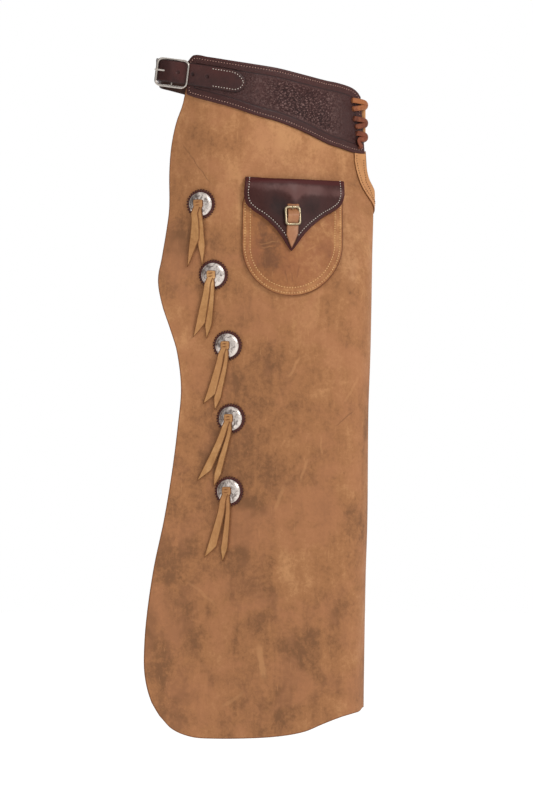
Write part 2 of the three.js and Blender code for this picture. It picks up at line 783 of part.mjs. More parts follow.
function makeTail(x, z, start, width, back, down) {
  const face = (offset) => (u, step) => {
    const v = step ** 1.6; // stations lie closer together over the dome
    const swell = 0.75 + 0.25 * Math.sin(Math.min(v / 0.4, 1) * (Math.PI / 2));
    const half = (width / 2) * swell * Math.min(1, (1.06 - v) / 0.42);
    const px = mix(x + start, x - back * tieLength, v) + (2 * u - 1) * half;
    const pz = z - mix(tieBlockTall * 0.3, down * tieLength, v);
    const lift = tieSeat * liftAt((z - pz) / conchoRadius);
    return onLeg(px, pz, Math.max(lift, 1) + offset);
  };
  return sheet(1, 5, face(tieThickness), face(0));
}

function makeTie(tie, x, z) {
  const block = (offset) => (u, v) =>
    onLeg(x - tieShift + (u - 0.5) * tieBlockWide, z + (v - 0.5) * tieBlockTall, tieSeat + offset);
  const left = makeTail(x, z, -1.7 * tieShift, leftTail, tie.leftBack, tie.leftDown);
  const right = makeTail(x, z, 0.2 * tieShift, rightTail, tie.rightBack, tie.rightDown);
  return join(sheet(1, 1, block(1.5 * tieThickness), block(0)), left, right);
}

// The long strap runs from its tip over the near yoke, through the buckle and round the back.
const frameLevel = clearance + strapThickness + clearance + buckleWire / 2;
const barLevel = frameLevel - centreBarDrop;
const chapeInner = buckleWire / 2 + clearance;
const billetTip = buckleS - billetReach;
const billetEnd = 2 * waistHalf - waistRun(-yokeBack) - 2 * clearance;
const beltHeightAt = follow(beltHeights, "along", "height");
const beltZ = (s) => buckleHeight * beltHeightAt((s - billetTip) / (billetEnd - billetTip));

function billetOffset(s) {
  const away = Math.abs(s - buckleS) / (buckleLong / 2 - 1.2 * buckleWire);
  const top = barLevel + chapeInner + chapeThickness + clearance;
  const over = away < 1 ? (top - clearance) * Math.cos((away * Math.PI) / 2) ** 1.2 : 0;
  const depth = clearance + strapThickness / 2 + yokeThickness / 2;
  return clearance + over - depth * ease(s, buckleS + buckleLong / 2, billetEnd);
}

function makeBillet() {
  const behind = billetReach + buckleLong / 2;
  const stations = [
    ...Array.from({ length: 5 }, (_, i) => mix(0, tipLength, i / 5)),
    ...Array.from({ length: 5 }, (_, i) => mix(tipLength, billetReach - buckleLong / 2, i / 5)),
    ...Array.from({ length: 14 }, (_, i) => billetReach + mix(-0.5, 0.5, i / 14) * buckleLong),
    ...Array.from({ length: 19 }, (_, i) => mix(behind, billetEnd - billetTip, i / 18)),
  ];
  const face = (offset) => (u, v) => {
    const run = stations[Math.round(v * (stations.length - 1))];
    const s = billetTip + run;
    const round = Math.min(run / tipLength, 1);
    const half = (strapWidth / 2) * Math.sqrt(Math.max(1 - (1 - round) ** 2, 0.01));
    return onWaist(s, beltZ(s) + (2 * u - 1) * half, billetOffset(s) + offset);
  };
  const strap = sheet(1, stations.length - 1, face(strapThickness), face(0));
  return cut(strap, slotTool(buckleS + 1.5, buckleS + buckleLong * 0.31));
}

// A block that opens a slot for the prong between two runs of the waist loop.
function slotTool(from, to) {
  const face = (offset) => (u, v) => {
    const s = mix(from, to, v);
    return onWaist(s, beltZ(s) + (u - 0.5) * prongSlot, offset);
  };
  return sheet(1, 3, face(5 * strapThickness), face(-strapThickness));
}

// The chape starts at the near yoke's rear end and hooks round the centre bar.
function makeChape() {
  const start = waistRun(-yokeBack) + clearance;
  const middle = chapeInner + chapeThickness / 2;
  const line = new THREE.CatmullRomCurve3(
    [
      [start, -yokeThickness / 2],
      [mix(start, buckleS, 0.35), -yokeThickness / 2.2],
      [buckleS - 1.6 * middle, barLevel - 1.12 * middle],
      [buckleS, barLevel - middle],
      [buckleS + 0.71 * middle, barLevel - 0.71 * middle],
      [buckleS + middle, barLevel],
      [buckleS + 0.71 * middle, barLevel + 0.71 * middle],
      [buckleS, barLevel + middle],
      [buckleS - 0.8 * middle, barLevel + 0.6 * middle],
    ].map(([s, n]) => new THREE.Vector3(s, n, 0)),
  );
  const face = (side) => (u, v) => {
    const p = line.getPointAt(v);
    const t = line.getTangentAt(v);
    const s = p.x + side * t.y * (chapeThickness / 2);
    const n = p.y - side * t.x * (chapeThickness / 2);
    return onWaist(s, beltZ(p.x) + (u - 0.5) * chapeWidth, n);
  };
  return cut(sheet(1, 20, face(1), face(-1)), slotTool(buckleS - 1.5 * middle, buckleS + 2 * middle));
}

function onBuckle(a, b, n) {
  const s = buckleS + a;
  return onWaist(buckleS, 0, 0).map((value, i) => {
    const along = walk(buckleS).heading;
    const run = [-Math.cos(along), -Math.sin(along), buckleSlope][i];
    const out = [Math.sin(along), -Math.cos(along), 0][i];
    return value + (s - buckleS) * run + out * (frameLevel + n) + (i === 2 ? buckleHeight + b : 0);
  });
}

const makeBuckle = () =>
  makeFrame(onBuckle, buckleLong, buckleTall, buckleCorner, buckleWire, centreBarDrop);

// The prong leaves the centre bar through the strap's slot and rests on the rear bar of the frame.
function makeProng() {
  const rest = buckleWire / 2 + clearance + prongWire / 2;
  const root = rest + 0.2;
  const end = buckleLong / 2 + 0.3 * buckleWire;
  const points = [
    [root, -centreBarDrop],
    [mix(root, end, 0.25), 0.1 * rest],
    [mix(root, end, 0.5), 0.75 * rest],
    [mix(root, end, 0.8), rest],
    [end, rest],
  ].map(([a, n]) => new THREE.Vector3(...onBuckle(a, 0, n)));
  const curve = new THREE.CatmullRomCurve3(points);
  return wire(curve, 6, prongWire, prongWire, 6, new THREE.Vector3(0, 0, 1));
}

// The lace: two strands that cross in the middle plane, each the mirror image of the other.
function makeStrand(mirror) {
  const out = laceThin / 2 + clearance;
  const inside = -yokeThickness - legThickness - laceThin;
  const points = [];
  const put = (near, s, z, offset) => {
    const [x, y] = onWaist(s, z, offset);
    points.push(new THREE.Vector3(x, near === mirror ? -y : y, z));
  };
  const through = (near, hole, outwards) => {
    const { s, z } = laceHoleAt(hole);
    const levels = outwards ? [inside, -yokeThickness / 2, out] : [out, -yokeThickness / 2, inside];
    for (const level of levels) put(near, s - (level === out ? 1 : 0), z, level);
  };
  const cross = (near, from, to) => {
    const a = laceHoleAt(from);
    const b = laceHoleAt(to);
    put(near, 0.28 * a.s, mix(a.z, b.z, 0.3), 1.5 * out);
    points.push(new THREE.Vector3(laceFront, 0, (a.z + b.z) / 2));
    put(!near, 0.28 * b.s, mix(a.z, b.z, 0.7), 1.5 * out);
  };
  const [h1, h2, h3, h4, h5, h6, h7] = laceHoles;
  through(true, h1, true);
  cross(true, h1, h2);
  through(false, h2, false);
  through(false, h3, true);
  cross(false, h3, h4);
  through(true, h4, false);
  through(true, h5, true);
  cross(true, h5, h6);
  const sixth = laceHoleAt(h6);
  put(false, sixth.s, sixth.z, out);
  through(false, h7, false);
  const curve = new THREE.CatmullRomCurve3(points, false, "centripetal");
  return wire(curve, 36, laceWide, laceThin, 4, new THREE.Vector3(0, 0, 1));
}

// Finishes
const finishes = {
  tan: { color: 0xb57a45, roughness: 0.65, metalness: 0 },
  paleTan: { color: 0xc79258, roughness: 0.7, metalness: 0 },
  dark: { color: 0x3f211d, roughness: 0.5, metalness: 0 },
  steel: { color: 0xb9b6b2, roughness: 0.3, metalness: 1 },
  silver: { color: 0xd6d2cc, roughness: 0.25, metalness: 1 },
  brass: { color: 0x8f8368, roughness: 0.4, metalness: 1 },
  lace: { color: 0x7a4a30, roughness: 0.7, metalness: 0 },
};

function piece(name, geometry, finish) {
  const mesh = new THREE.Mesh(geometry, new THREE.MeshStandardMaterial(finishes[finish]));
  mesh.name = name;
  return mesh;
}

function makeSide(side) {
  const group = new THREE.Group();
  const add = (name, geometry, finish) => group.add(piece(side + "_" + name, geometry, finish));
  add("leg_panel", makeLeg(), "tan");
  add("yoke", makeYoke(), "dark");
  add("crotch_binding", makeBinding(), "paleTan");
  add("pocket_pouch", makePouch(), "tan");
  add("pocket_flap", makeFlap(), "dark");
  add("pocket_strap", makeSmallStrap(), "paleTan");
  add("pocket_buckle", makeSmallBuckle(), "brass");
  const rosette = makeRosette();
  const concho = makeConcho();
  ties.forEach((tie, i) => {
    const z = -tie.place * legDrop;
    const x = tieX(z);
    add("rosette_" + (i + 1), seated(rosette, x, z, rosetteSeat), "dark");
    add("concho_" + (i + 1), seated(concho, x, z, conchoSeat), "silver");
    add("tie_" + (i + 1), makeTie(tie, x, z), "paleTan");
  });
  return group;
}

const chaps = new THREE.Group();
const leftSide = makeSide("left");
leftSide.scale.y = -1;
chaps.add(makeSide("right"), leftSide);
chaps.add(piece("belt_billet", makeBillet(), "dark"));
chaps.add(piece("belt_chape", makeChape(), "dark"));
chaps.add(piece("belt_buckle", makeBuckle(), "steel"));
chaps.add(piece("belt_prong", makeProng(), "steel"));
chaps.add(piece("front_lace", join(makeStrand(false), makeStrand(true)), "lace"));

export default chaps;
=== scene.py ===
import math

import bpy
import numpy as np
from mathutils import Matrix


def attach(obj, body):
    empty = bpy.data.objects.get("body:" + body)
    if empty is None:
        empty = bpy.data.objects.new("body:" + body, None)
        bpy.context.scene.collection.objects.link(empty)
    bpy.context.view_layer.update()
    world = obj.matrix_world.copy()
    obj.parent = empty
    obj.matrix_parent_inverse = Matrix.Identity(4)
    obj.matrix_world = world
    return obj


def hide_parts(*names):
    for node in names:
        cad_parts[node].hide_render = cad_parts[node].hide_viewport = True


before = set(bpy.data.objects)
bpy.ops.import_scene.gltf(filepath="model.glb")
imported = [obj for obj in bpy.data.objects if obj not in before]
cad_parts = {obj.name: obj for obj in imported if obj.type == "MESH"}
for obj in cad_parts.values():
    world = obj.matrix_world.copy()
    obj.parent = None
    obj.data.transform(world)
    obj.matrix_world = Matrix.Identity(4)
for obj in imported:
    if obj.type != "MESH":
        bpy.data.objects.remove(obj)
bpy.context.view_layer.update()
metre = 0.001  # one millimetre in metres
quarterTurn = math.pi / 2
fineness = 1


# Curves and surfaces

def mix(a, b, t):
    return a + (b - a) * t


def ease(value, low, high):  # 0 below low, 1 above high, smooth between
    t = np.clip((value - low) / (high - low), 0, 1)
    return t * t * (3 - 2 * t)


def hump(value, centre, width):  # a bell of height 1 and that half width
    return np.exp(-((value - centre) / width) ** 2)


def through(*rows):  # a smooth curve through (place, value) rows, held at its ends
    place, value = np.array(rows, float).T
    slope = np.gradient(value, place, edge_order=1)
    slope[1:-1] = (value[2:] - value[:-2]) / (place[2:] - place[:-2])

    def curve(at):
        at = np.clip(at, place[0], place[-1])
        i = np.clip(np.searchsorted(place, at, side="right") - 1, 0, len(place) - 2)
        span = place[i + 1] - place[i]
        t = (at - place[i]) / span
        ends = value[i] * (2 * t**3 - 3 * t**2 + 1) + value[i + 1] * (3 * t**2 - 2 * t**3)
        return ends + span * (slope[i] * (t**3 - 2 * t**2 + t) + slope[i + 1] * (t**3 - t**2))

    return curve


def unit(vectors):
    return vectors / np.maximum(np.linalg.norm(vectors, axis=-1, keepdims=True), 1e-12)


def stack(x, y, z):
    return np.stack(np.broadcast_arrays(x, y, z), axis=-1)


def spaced(count, length, firsts=(1.2, 3.0)):  # shares of a length, closer together at both ends
    near = np.array(firsts) / length
    inner = np.linspace(near[-1], 1 - near[-1], max(int(count * fineness), 4))
    return np.concatenate([[0], near[:-1], inner, 1 - near[-2::-1], [1]])


def evenly(path, pitch):  # points along a path at an even pitch, and the path's length
    run = np.concatenate([[0], np.cumsum(np.linalg.norm(np.diff(path, axis=0), axis=1))])
    count = max(int(round(run[-1] / pitch)), 1)
    at = (np.arange(count) + 0.5) * run[-1] / count
    return np.stack([np.interp(at, run, column) for column in path.T], axis=-1)


def closest(points, line):  # distance from each point to the nearest point of a dense line
    flat = points.reshape(-1, points.shape[-1])
    found = np.full(len(flat), np.inf)
    for start in range(0, len(line), 200):
        part = line[start:start + 200]
        found = np.minimum(found, np.linalg.norm(flat[:, None] - part[None], axis=-1).min(1))
    return found.reshape(points.shape[:-1])


def cellEdges(x, y, size, seed):
    # How far each place is from the border between its nearest two of many scattered spots, one spot to each square
    # of the given size: 0 on a border, about 1 in the middle of a cell.
    spots = np.random.default_rng(seed).random((128, 128, 2))
    i, j = np.floor(x / size).astype(int), np.floor(y / size).astype(int)
    first = np.full(x.shape, np.inf)
    second = first
    for a in (-1, 0, 1):
        for b in (-1, 0, 1):
            spot = spots[(i + a) % 128, (j + b) % 128]
            away = np.hypot((i + a + spot[..., 0]) * size - x, (j + b + spot[..., 1]) * size - y)
            second = np.minimum(second, np.maximum(first, away))
            first = np.minimum(first, away)
    return (second - first) / size


def insetLine(outline, inset):  # a closed flat outline moved inwards, without the loops that corners make
    before, after = np.roll(outline, 1, axis=0), np.roll(outline, -1, axis=0)
    along = unit(after - before)
    area = np.sum(outline[:, 0] * after[:, 1] - after[:, 0] * outline[:, 1])
    inward = np.stack([-along[:, 1], along[:, 0]], axis=-1) * np.sign(area)
    moved = outline + inward * inset
    return moved[closest(moved, outline) > 0.97 * inset]


# Meshes

def finishMesh(name, points, faces, materials, faceMaterials=None, marks=None, side=1):
    points = np.array(points, float).reshape(-1, 3) * metre
    points[:, 1] *= side
    faces = np.array(faces)
    a, b, c, d = (points[faces[:, k]] for k in range(4))
    volume = np.sum(a * np.cross(b, c)) + np.sum(a * np.cross(c, d))
    if volume < 0:
        faces = faces[:, ::-1]
    mesh = bpy.data.meshes.new(name)
    mesh.from_pydata(points.tolist(), [], [list(dict.fromkeys(face)) for face in faces.tolist()])
    for material in materials:
        mesh.materials.append(material)
    if faceMaterials is not None:
        mesh.polygons.foreach_set("material_index", np.array(faceMaterials, np.int32))
    for mark, values in (marks or {}).items():
        layer = mesh.attributes.new(mark, "FLOAT", "POINT")
        layer.data.foreach_set("value", np.array(values, np.float32).ravel())
    mesh.polygons.foreach_set("use_smooth", np.ones(len(mesh.polygons), bool))
    mesh.update()
    made = bpy.data.objects.new(name, mesh)
    bpy.context.scene.collection.objects.link(made)
    return made


def gridFaces(rows, columns, start=0, closed=False):
    wide = columns if closed else columns - 1
    j, i = np.meshgrid(np.arange(rows - 1), np.arange(wide), indexing="ij")
    k = (i + 1) % columns
    quads = np.stack([j * columns + i, j * columns + k, (j + 1) * columns + k, (j + 1) * columns + i], axis=-1)
    return quads.reshape(-1, 4) + start


def fan(near, far, hub):  # from two neighbours of a ring to its hub
    hubs = np.full(len(near), hub)
    return np.stack([near, far, hubs, hubs], -1)


def wall(name, outer, inner, materials, marks=None, side=1, edgeSwell=0.3):
    # A leather wall between two grids of points, with a rim of three facets that swells a little past its outline.
    # marks hold a value for each point of the outer grid.
    rows, columns = outer.shape[:2]
    top = [(0, c) for c in range(columns)]
    right = [(r, columns - 1) for r in range(1, rows)]
    bottom = [(rows - 1, c) for c in range(columns - 2, -1, -1)]
    left = [(r, 0) for r in range(rows - 2, 0, -1)]
    rim = np.array(top + right + bottom + left)
    r, c = rim.T
    inside = outer[np.clip(r, 1, rows - 2), np.clip(c, 1, columns - 2)] if rows > 2 else outer.mean((0, 1))[None]
    inward = inner[r, c] - outer[r, c]
    depth = np.linalg.norm(inward, axis=-1, keepdims=True)
    outward = unit(outer[r, c] - inside) * depth * edgeSwell
    first = outer[r, c] + 0.22 * inward + outward
    second = outer[r, c] + 0.78 * inward + outward
    points = np.concatenate([outer.reshape(-1, 3), inner.reshape(-1, 3), first, second])
    count = rows * columns
    onOuter = r * columns + c
    loops = [onOuter, 2 * count + np.arange(len(rim)), 2 * count + len(rim) + np.arange(len(rim)), onOuter + count]
    strips = []
    for near, far in zip(loops, loops[1:]):
        strips.append(np.stack([near, far, np.roll(far, -1), np.roll(near, -1)], axis=-1))
    outside = gridFaces(rows, columns)
    inside = gridFaces(rows, columns)[:, ::-1] + count
    faces = np.concatenate([outside, inside, *strips])
    kinds = np.concatenate([np.zeros(len(outside)), np.ones(len(inside)), np.full(3 * len(rim), 2)])
    full = {}
    for mark, values in (marks or {}).items():
        values = np.broadcast_to(values, (rows, columns))
        edge = np.zeros(len(rim)) if mark == "rim" else values[r, c]
        full[mark] = np.concatenate([values.ravel(), values.ravel(), edge, edge])
    return finishMesh(name, points, faces, materials, kinds, full, side)


def tube(name, path, normals, wide, thick, materials, sides=12, closed=False, scale=None, side=1, marks=None):
    # An oval section carried along a path: wide lies across, thick along the given normals.
    # Open ends are rounded by three shrinking rings.
    path, normals = np.array(path, float), np.broadcast_to(normals, np.shape(path))
    scale = np.ones(len(path)) if scale is None else np.array(scale, float)
    along = np.roll(path, -1, 0) - np.roll(path, 1, 0) if closed else np.gradient(path, axis=0)
    along = unit(along)
    across = unit(np.cross(along, normals))
    up = unit(np.cross(across, along))
    if not closed:
        reach = np.array([0.5, 0.42, 0.25]) * min(wide, thick)
        shrink = np.array([0.15, 0.6, 0.88])
        path = np.concatenate([path[0] - reach[:, None] * along[0], path, path[-1] + reach[::-1, None] * along[-1]])
        scale = np.concatenate([shrink * scale[0], scale, shrink[::-1] * scale[-1]])
        across = np.concatenate([across[[0] * 3], across, across[[-1] * 3]])
        up = np.concatenate([up[[0] * 3], up, up[[-1] * 3]])
    angle = np.arange(sides) / sides * 2 * math.pi
    ring = across[:, None] * (np.cos(angle) * wide / 2)[None, :, None]
    ring = ring + up[:, None] * (np.sin(angle) * thick / 2)[None, :, None]
    points = path[:, None] + ring * scale[:, None, None]
    rings = len(path)
    if closed:
        points = np.concatenate([points, points[:1]])
        faces = gridFaces(rings + 1, sides, closed=True) % (rings * sides)
        points = points[:-1].reshape(-1, 3)
    else:
        faces = gridFaces(rings, sides, closed=True)
        points = np.concatenate([points.reshape(-1, 3), path[[0, -1]]])
        start, end = rings * sides, rings * sides + 1
        k = np.arange(sides)
        after = (k + 1) % sides
        last = (rings - 1) * sides
        faces = np.concatenate([faces, fan(after, k, start), fan(last + k, last + after, end)])
    given = {"rim": 9 * np.ones(len(points)), "stain": np.zeros(len(points))}
    for key, values in (marks or {}).items():
        ends = values[[0, -1]]
        values = np.concatenate([values[[0] * 3], values, values[[-1] * 3]])
        given[key] = np.concatenate([np.repeat(values, sides), ends])
    return finishMesh(name, points, faces, materials, marks=given, side=side)


def stitches(name, rows, thread, side=1, length=2.6, width=0.75, rise=0.35):
    # Rows of single stitches: each is a small bent rod that dips into the leather at both ends.
    # A row is (centres, normals, pitch) along its path.
    centres, normals, alongs = [], [], []
    for path, pathNormals, pitch in rows:
        at = evenly(np.concatenate([path, pathNormals], axis=1), pitch)
        centres.append(at[:, :3])
        normals.append(at[:, 3:])
        alongs.append(np.gradient(at[:, :3], axis=0))
    centre, normal = np.concatenate(centres), unit(np.concatenate(normals))
    along = unit(np.concatenate(alongs))
    across = unit(np.cross(normal, along))
    place = np.array([-0.5, -0.36, 0, 0.36, 0.5])
    lift = np.array([-0.4, 0.5, 1, 0.5, -0.4]) * rise
    girth = np.array([0.5, 0.95, 1, 0.95, 0.5]) * width / 2
    sides = 6
    angle = np.arange(sides) / sides * 2 * math.pi
    ring = np.stack([np.cos(angle), np.sin(angle)], -1)
    spine = centre[:, None] + along[:, None] * (place * length)[None, :, None] + normal[:, None] * lift[None, :, None]
    section = across[:, None, None] * ring[None, None, :, :1] + normal[:, None, None] * ring[None, None, :, 1:]
    points = spine[:, :, None] + section * girth[None, :, None, None]
    each = len(place) * sides
    one = gridFaces(len(place), sides, closed=True)
    cap = np.array([[0, 1, 2, 3], [0, 3, 4, 5]])
    one = np.concatenate([one, cap[:, ::-1], cap + each - sides])
    faces = (one[None] + (np.arange(len(centre)) * each)[:, None, None]).reshape(-1, 4)
    return finishMesh(name, points, faces, [thread], side=side)


def dress(piece, slot, *nodes):  # the piece rides with the chaps and stands for the nodes, which are hidden; slot is not used
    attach(piece, "root")
    if nodes:
        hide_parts(*nodes)
    return piece


# Shader pieces

def tone(red, green, blue):  # a colour as eyes read it, 0 to 255, as light values
    values = np.array([red, green, blue]) / 255
    return tuple(np.where(values > 0.04045, ((values + 0.055) / 1.055) ** 2.4, values / 12.92)) + (1.0,)


def feed(tree, made, inputs):  # a socket is linked, any other value is set
    for key, value in (inputs or {}).items():
        if isinstance(value, bpy.types.NodeSocket):
            tree.links.new(value, made.inputs[key])
        else:
            made.inputs[key].default_value = value


def put(tree, kind, inputs=None, **settings):
    made = tree.nodes.new(kind)
    for key, value in settings.items():
        setattr(made, key, value)
    feed(tree, made, inputs)
    return made


def blend(tree, factor, a, b):
    return put(tree, "ShaderNodeMix", {0: factor, 6: a, 7: b}, data_type="RGBA").outputs[2]


def maths(tree, operation, a, b=0.5):
    return put(tree, "ShaderNodeMath", {0: a, 1: b}, operation=operation).outputs[0]


def plus(tree, a, b):
    return maths(tree, "ADD", a, b)


def minus(tree, a, b):
    return maths(tree, "SUBTRACT", a, b)


def times(tree, a, b):
    return maths(tree, "MULTIPLY", a, b)


def ratio(tree, a, b):
    return maths(tree, "DIVIDE", a, b)


def spread(tree, value, low, high, toLow=0.0, toHigh=1.0):
    inputs = {"Value": value, "From Min": low, "From Max": high, "To Min": toLow, "To Max": toHigh}
    return put(tree, "ShaderNodeMapRange", inputs, interpolation_type="SMOOTHSTEP").outputs["Result"]


def noise(tree, vector, scale, detail=4.0, roughness=0.55, distortion=0.0):
    inputs = {"Vector": vector, "Scale": scale, "Detail": detail, "Roughness": roughness, "Distortion": distortion}
    return put(tree, "ShaderNodeTexNoise", inputs).outputs["Fac"]


def stretched(tree, vector, scale, turn=(0, 0, 0)):
    return put(tree, "ShaderNodeMapping", {"Vector": vector, "Scale": scale, "Rotation": turn}).outputs[0]


def warped(tree, place, scale, detail, share):  # a place drawn a little towards a cloud's colour
    cloud = put(tree, "ShaderNodeTexNoise", {"Vector": place, "Scale": scale, "Detail": detail}).outputs["Color"]
    return put(tree, "ShaderNodeMix", {0: share, 4: place, 5: cloud}, data_type="VECTOR").outputs[1]


def cells(tree, place, scale, feature):
    return put(tree, "ShaderNodeTexVoronoi", {"Vector": place, "Scale": scale}, feature=feature).outputs["Distance"]


def objectPlace(tree):
    return put(tree, "ShaderNodeTexCoord").outputs["Object"]


def mark(tree, name):
    return put(tree, "ShaderNodeAttribute", attribute_name=name).outputs["Fac"]


def group(name, inputs, outputs):
    tree = bpy.data.node_groups.new(name, "ShaderNodeTree")
    for title, value in inputs.items():
        kind = "NodeSocketColor" if isinstance(value, tuple) else "NodeSocketFloat"
        tree.interface.new_socket(title, in_out="INPUT", socket_type=kind).default_value = value
    for title, kind in outputs.items():
        tree.interface.new_socket(title, in_out="OUTPUT", socket_type=kind)
    return tree, tree.nodes.new("NodeGroupInput").outputs, tree.nodes.new("NodeGroupOutput")


def use(tree, shared, inputs=None):
    made = tree.nodes.new("ShaderNodeGroup")
    made.node_tree = shared
    feed(tree, made, inputs)
    return made.outputs


def makeHideMottle():
    # Waxed hide that pulls up in patches. Broad clouds, palms of 25 mm, fine grain and a light brushing are summed
    # to one level, less the piece's own darkening mark, which holds darker and lighter patches on the legs and painted
    # shade and highlight on the flap, the tie knots and the belt's holes; the level picks dark, middle or light, and a
    # cloud of its own turns some of it rosy. Thin pale scratches and small dark pits lie on top.
    tree, given, result = group(
        "hideMottle",
        {"Light": tone(196, 144, 100), "Middle": tone(176, 124, 82), "Dark": tone(140, 98, 66),
         "Rose": tone(184, 126, 94), "Cloud Scale": 9.0, "Contrast": 1.0, "Scratches": 0.5},
        {"Colour": "NodeSocketColor", "Wax": "NodeSocketFloat"},
    )
    place = objectPlace(tree)
    parts = [
        (noise(tree, place, given["Cloud Scale"], 4.0, 0.5, 0.3), 1.7),
        (noise(tree, place, times(tree, given["Cloud Scale"], 4.0), 4.0, 0.6, 0.6), 1.05),
        (noise(tree, place, 190.0, 5.0, 0.7, 0.5), 1.2),
        (noise(tree, stretched(tree, place, (44.0, 44.0, 11.0), (0, 0.35, 0)), 1.0, 6.0, 0.65, 0.8), 1.15),
    ]
    level = 0.0
    for cloud, weight in parts:
        level = plus(tree, level, times(tree, minus(tree, cloud, 0.5), weight))
    level = plus(tree, times(tree, level, given["Contrast"]), 0.5)
    level = minus(tree, level, mark(tree, "stain"))
    colour = blend(tree, spread(tree, level, -0.15, 0.55), given["Dark"], given["Middle"])
    colour = blend(tree, spread(tree, level, 0.45, 1.1), colour, given["Light"])
    rosy = spread(tree, noise(tree, place, 14.0, 3.0, 0.6, 0.4), 0.42, 0.66, 0.0, 0.6)
    colour = blend(tree, rosy, colour, given["Rose"])
    for turn in ((0.2, 0.55, 0.3), (-0.3, -0.9, 0.1)):
        line = noise(tree, stretched(tree, place, (520.0, 520.0, 34.0), turn), 1.0, 2.0, 0.5, 0.25)
        shown = times(tree, spread(tree, line, 0.7, 0.78), given["Scratches"])
        colour = blend(tree, shown, colour, given["Light"])
    pits = noise(tree, place, 330.0, 2.0, 0.5)
    colour = blend(tree, spread(tree, pits, 0.7, 0.78, 0.0, 0.5), colour, given["Dark"])
    tree.links.new(colour, result.inputs["Colour"])
    tree.links.new(spread(tree, level, 0.0, 1.1), result.inputs["Wax"])
    return tree


def makeScuff():
    # A single line on the leather, from one place to another as seen from the side: the distance to that segment,
    # bent a little by noise, gives a mask that fades towards both ends.
    tree, given, result = group(
        "scuff", {"From X": 0.0, "From Z": 0.0, "To X": 0.1, "To Z": 0.0, "Width": 0.001}, {"Mask": "NodeSocketFloat"})
    place = objectPlace(tree)
    bent = times(tree, minus(tree, noise(tree, place, 60.0, 2.0), 0.5), 0.007)
    parts = put(tree, "ShaderNodeSeparateXYZ", {0: place}).outputs
    runX, runZ = (minus(tree, given["To " + axis], given["From " + axis]) for axis in "XZ")
    offX, offZ = (minus(tree, parts[axis], given["From " + axis]) for axis in "XZ")

    def products(join, a, b, c, d):
        return join(tree, times(tree, a, b), times(tree, c, d))

    long = maths(tree, "SQRT", products(plus, runX, runX, runZ, runZ))
    along = ratio(tree, products(plus, offX, runX, offZ, runZ), times(tree, long, long))
    aside = ratio(tree, products(minus, offX, runZ, offZ, runX), long)
    away = ratio(tree, maths(tree, "ABSOLUTE", plus(tree, aside, bent)), given["Width"])
    ends = times(tree, spread(tree, along, 0.0, 0.25), spread(tree, along, 0.75, 1.0, 1.0, 0.0))
    tree.links.new(times(tree, spread(tree, away, 0.3, 1.0, 1.0, 0.0), ends), result.inputs["Mask"])
    return tree


def makePoreGrain():
    # Smooth leather grain: small cells with fine noise and faint long wrinkles, as a height.
    tree, given, result = group("poreGrain", {"Size": 1.6, "Wrinkle": 0.5}, {"Height": "NodeSocketFloat"})
    place = objectPlace(tree)
    scale = ratio(tree, 1000.0, given["Size"])
    bent = warped(tree, place, 260.0, 2.0, 0.0035)
    pores = cells(tree, bent, scale, "SMOOTH_F1")
    wrinkle = noise(tree, stretched(tree, place, (60.0, 60.0, 110.0), (0, 0.7, 0)), 1.0, 6.0, 0.65, 0.9)
    fine = noise(tree, place, 900.0, 2.0, 0.6)
    height = plus(tree, times(tree, pores, -0.5), times(tree, wrinkle, given["Wrinkle"]))
    tree.links.new(plus(tree, height, times(tree, fine, 0.25)), result.inputs["Height"])
    return tree


def makePebbleGrain():
    # Shrunken grain: bent cells parted by deep creases, at two sizes, as a height.
    tree, given, result = group("pebbleGrain", {"Size": 4.0}, {"Height": "NodeSocketFloat"})
    place = objectPlace(tree)
    bent = warped(tree, place, 140.0, 3.0, 0.008)
    scale = ratio(tree, 1000.0, given["Size"])
    creases = cells(tree, bent, scale, "DISTANCE_TO_EDGE")
    small = cells(tree, bent, times(tree, scale, 2.3), "F1")
    where = spread(tree, noise(tree, place, 45.0, 3.0), 0.35, 0.6)
    deep = times(tree, spread(tree, creases, 0.0, 0.22), plus(tree, times(tree, where, 0.7), 0.5))
    height = minus(tree, deep, times(tree, small, 0.35))
    tree.links.new(height, result.inputs["Height"])
    return tree


def makeEdgeBand():
    # 1 along the piece's outline, falling to 0 at the given width inside it, from the "rim" mark in millimetres.
    tree, given, result = group("edgeBand", {"Width": 2.0, "Wobble": 0.4}, {"Mask": "NodeSocketFloat"})
    rough = times(tree, noise(tree, objectPlace(tree), 240.0, 3.0), given["Wobble"])
    depth = ratio(tree, mark(tree, "rim"), given["Width"])
    tree.links.new(spread(tree, plus(tree, depth, rough), 0.3, 1.3, 1.0, 0.0), result.inputs["Mask"])
    return tree


def makeTarnish():
    # Metal wear: dark film in the cuts, by the "cut" mark, with cloudy patches and hairline scratches. On the
    # conchos the "cut" mark also holds painted shade, drawn in the same film colour.
    tree, given, result = group(
        "tarnish",
        {"Metal": tone(222, 216, 208), "Film": tone(70, 60, 54), "Patches": 0.4, "Satin": 0.2},
        {"Colour": "NodeSocketColor", "Roughness": "NodeSocketFloat", "Height": "NodeSocketFloat"},
    )
    place = objectPlace(tree)
    cloud = spread(tree, noise(tree, place, 150.0, 5.0, 0.65, 0.8), 0.42, 0.7)
    scratch = noise(tree, stretched(tree, place, (2600.0, 500.0, 260.0), (0.3, 0.4, 0.6)), 1.0, 2.0)
    film = plus(tree, mark(tree, "cut"), times(tree, cloud, given["Patches"]))
    colour = blend(tree, spread(tree, film, 0.0, 1.0, 0.0, 0.9), given["Metal"], given["Film"])
    tree.links.new(colour, result.inputs["Colour"])
    rough = plus(tree, times(tree, scratch, 0.16), times(tree, film, 0.22))
    tree.links.new(plus(tree, rough, given["Satin"]), result.inputs["Roughness"])
    tree.links.new(plus(tree, scratch, cloud), result.inputs["Height"])
    return tree


hideMottle = makeHideMottle()
scuff = makeScuff()
poreGrain = makePoreGrain()
pebbleGrain = makePebbleGrain()
edgeBand = makeEdgeBand()
tarnish = makeTarnish()


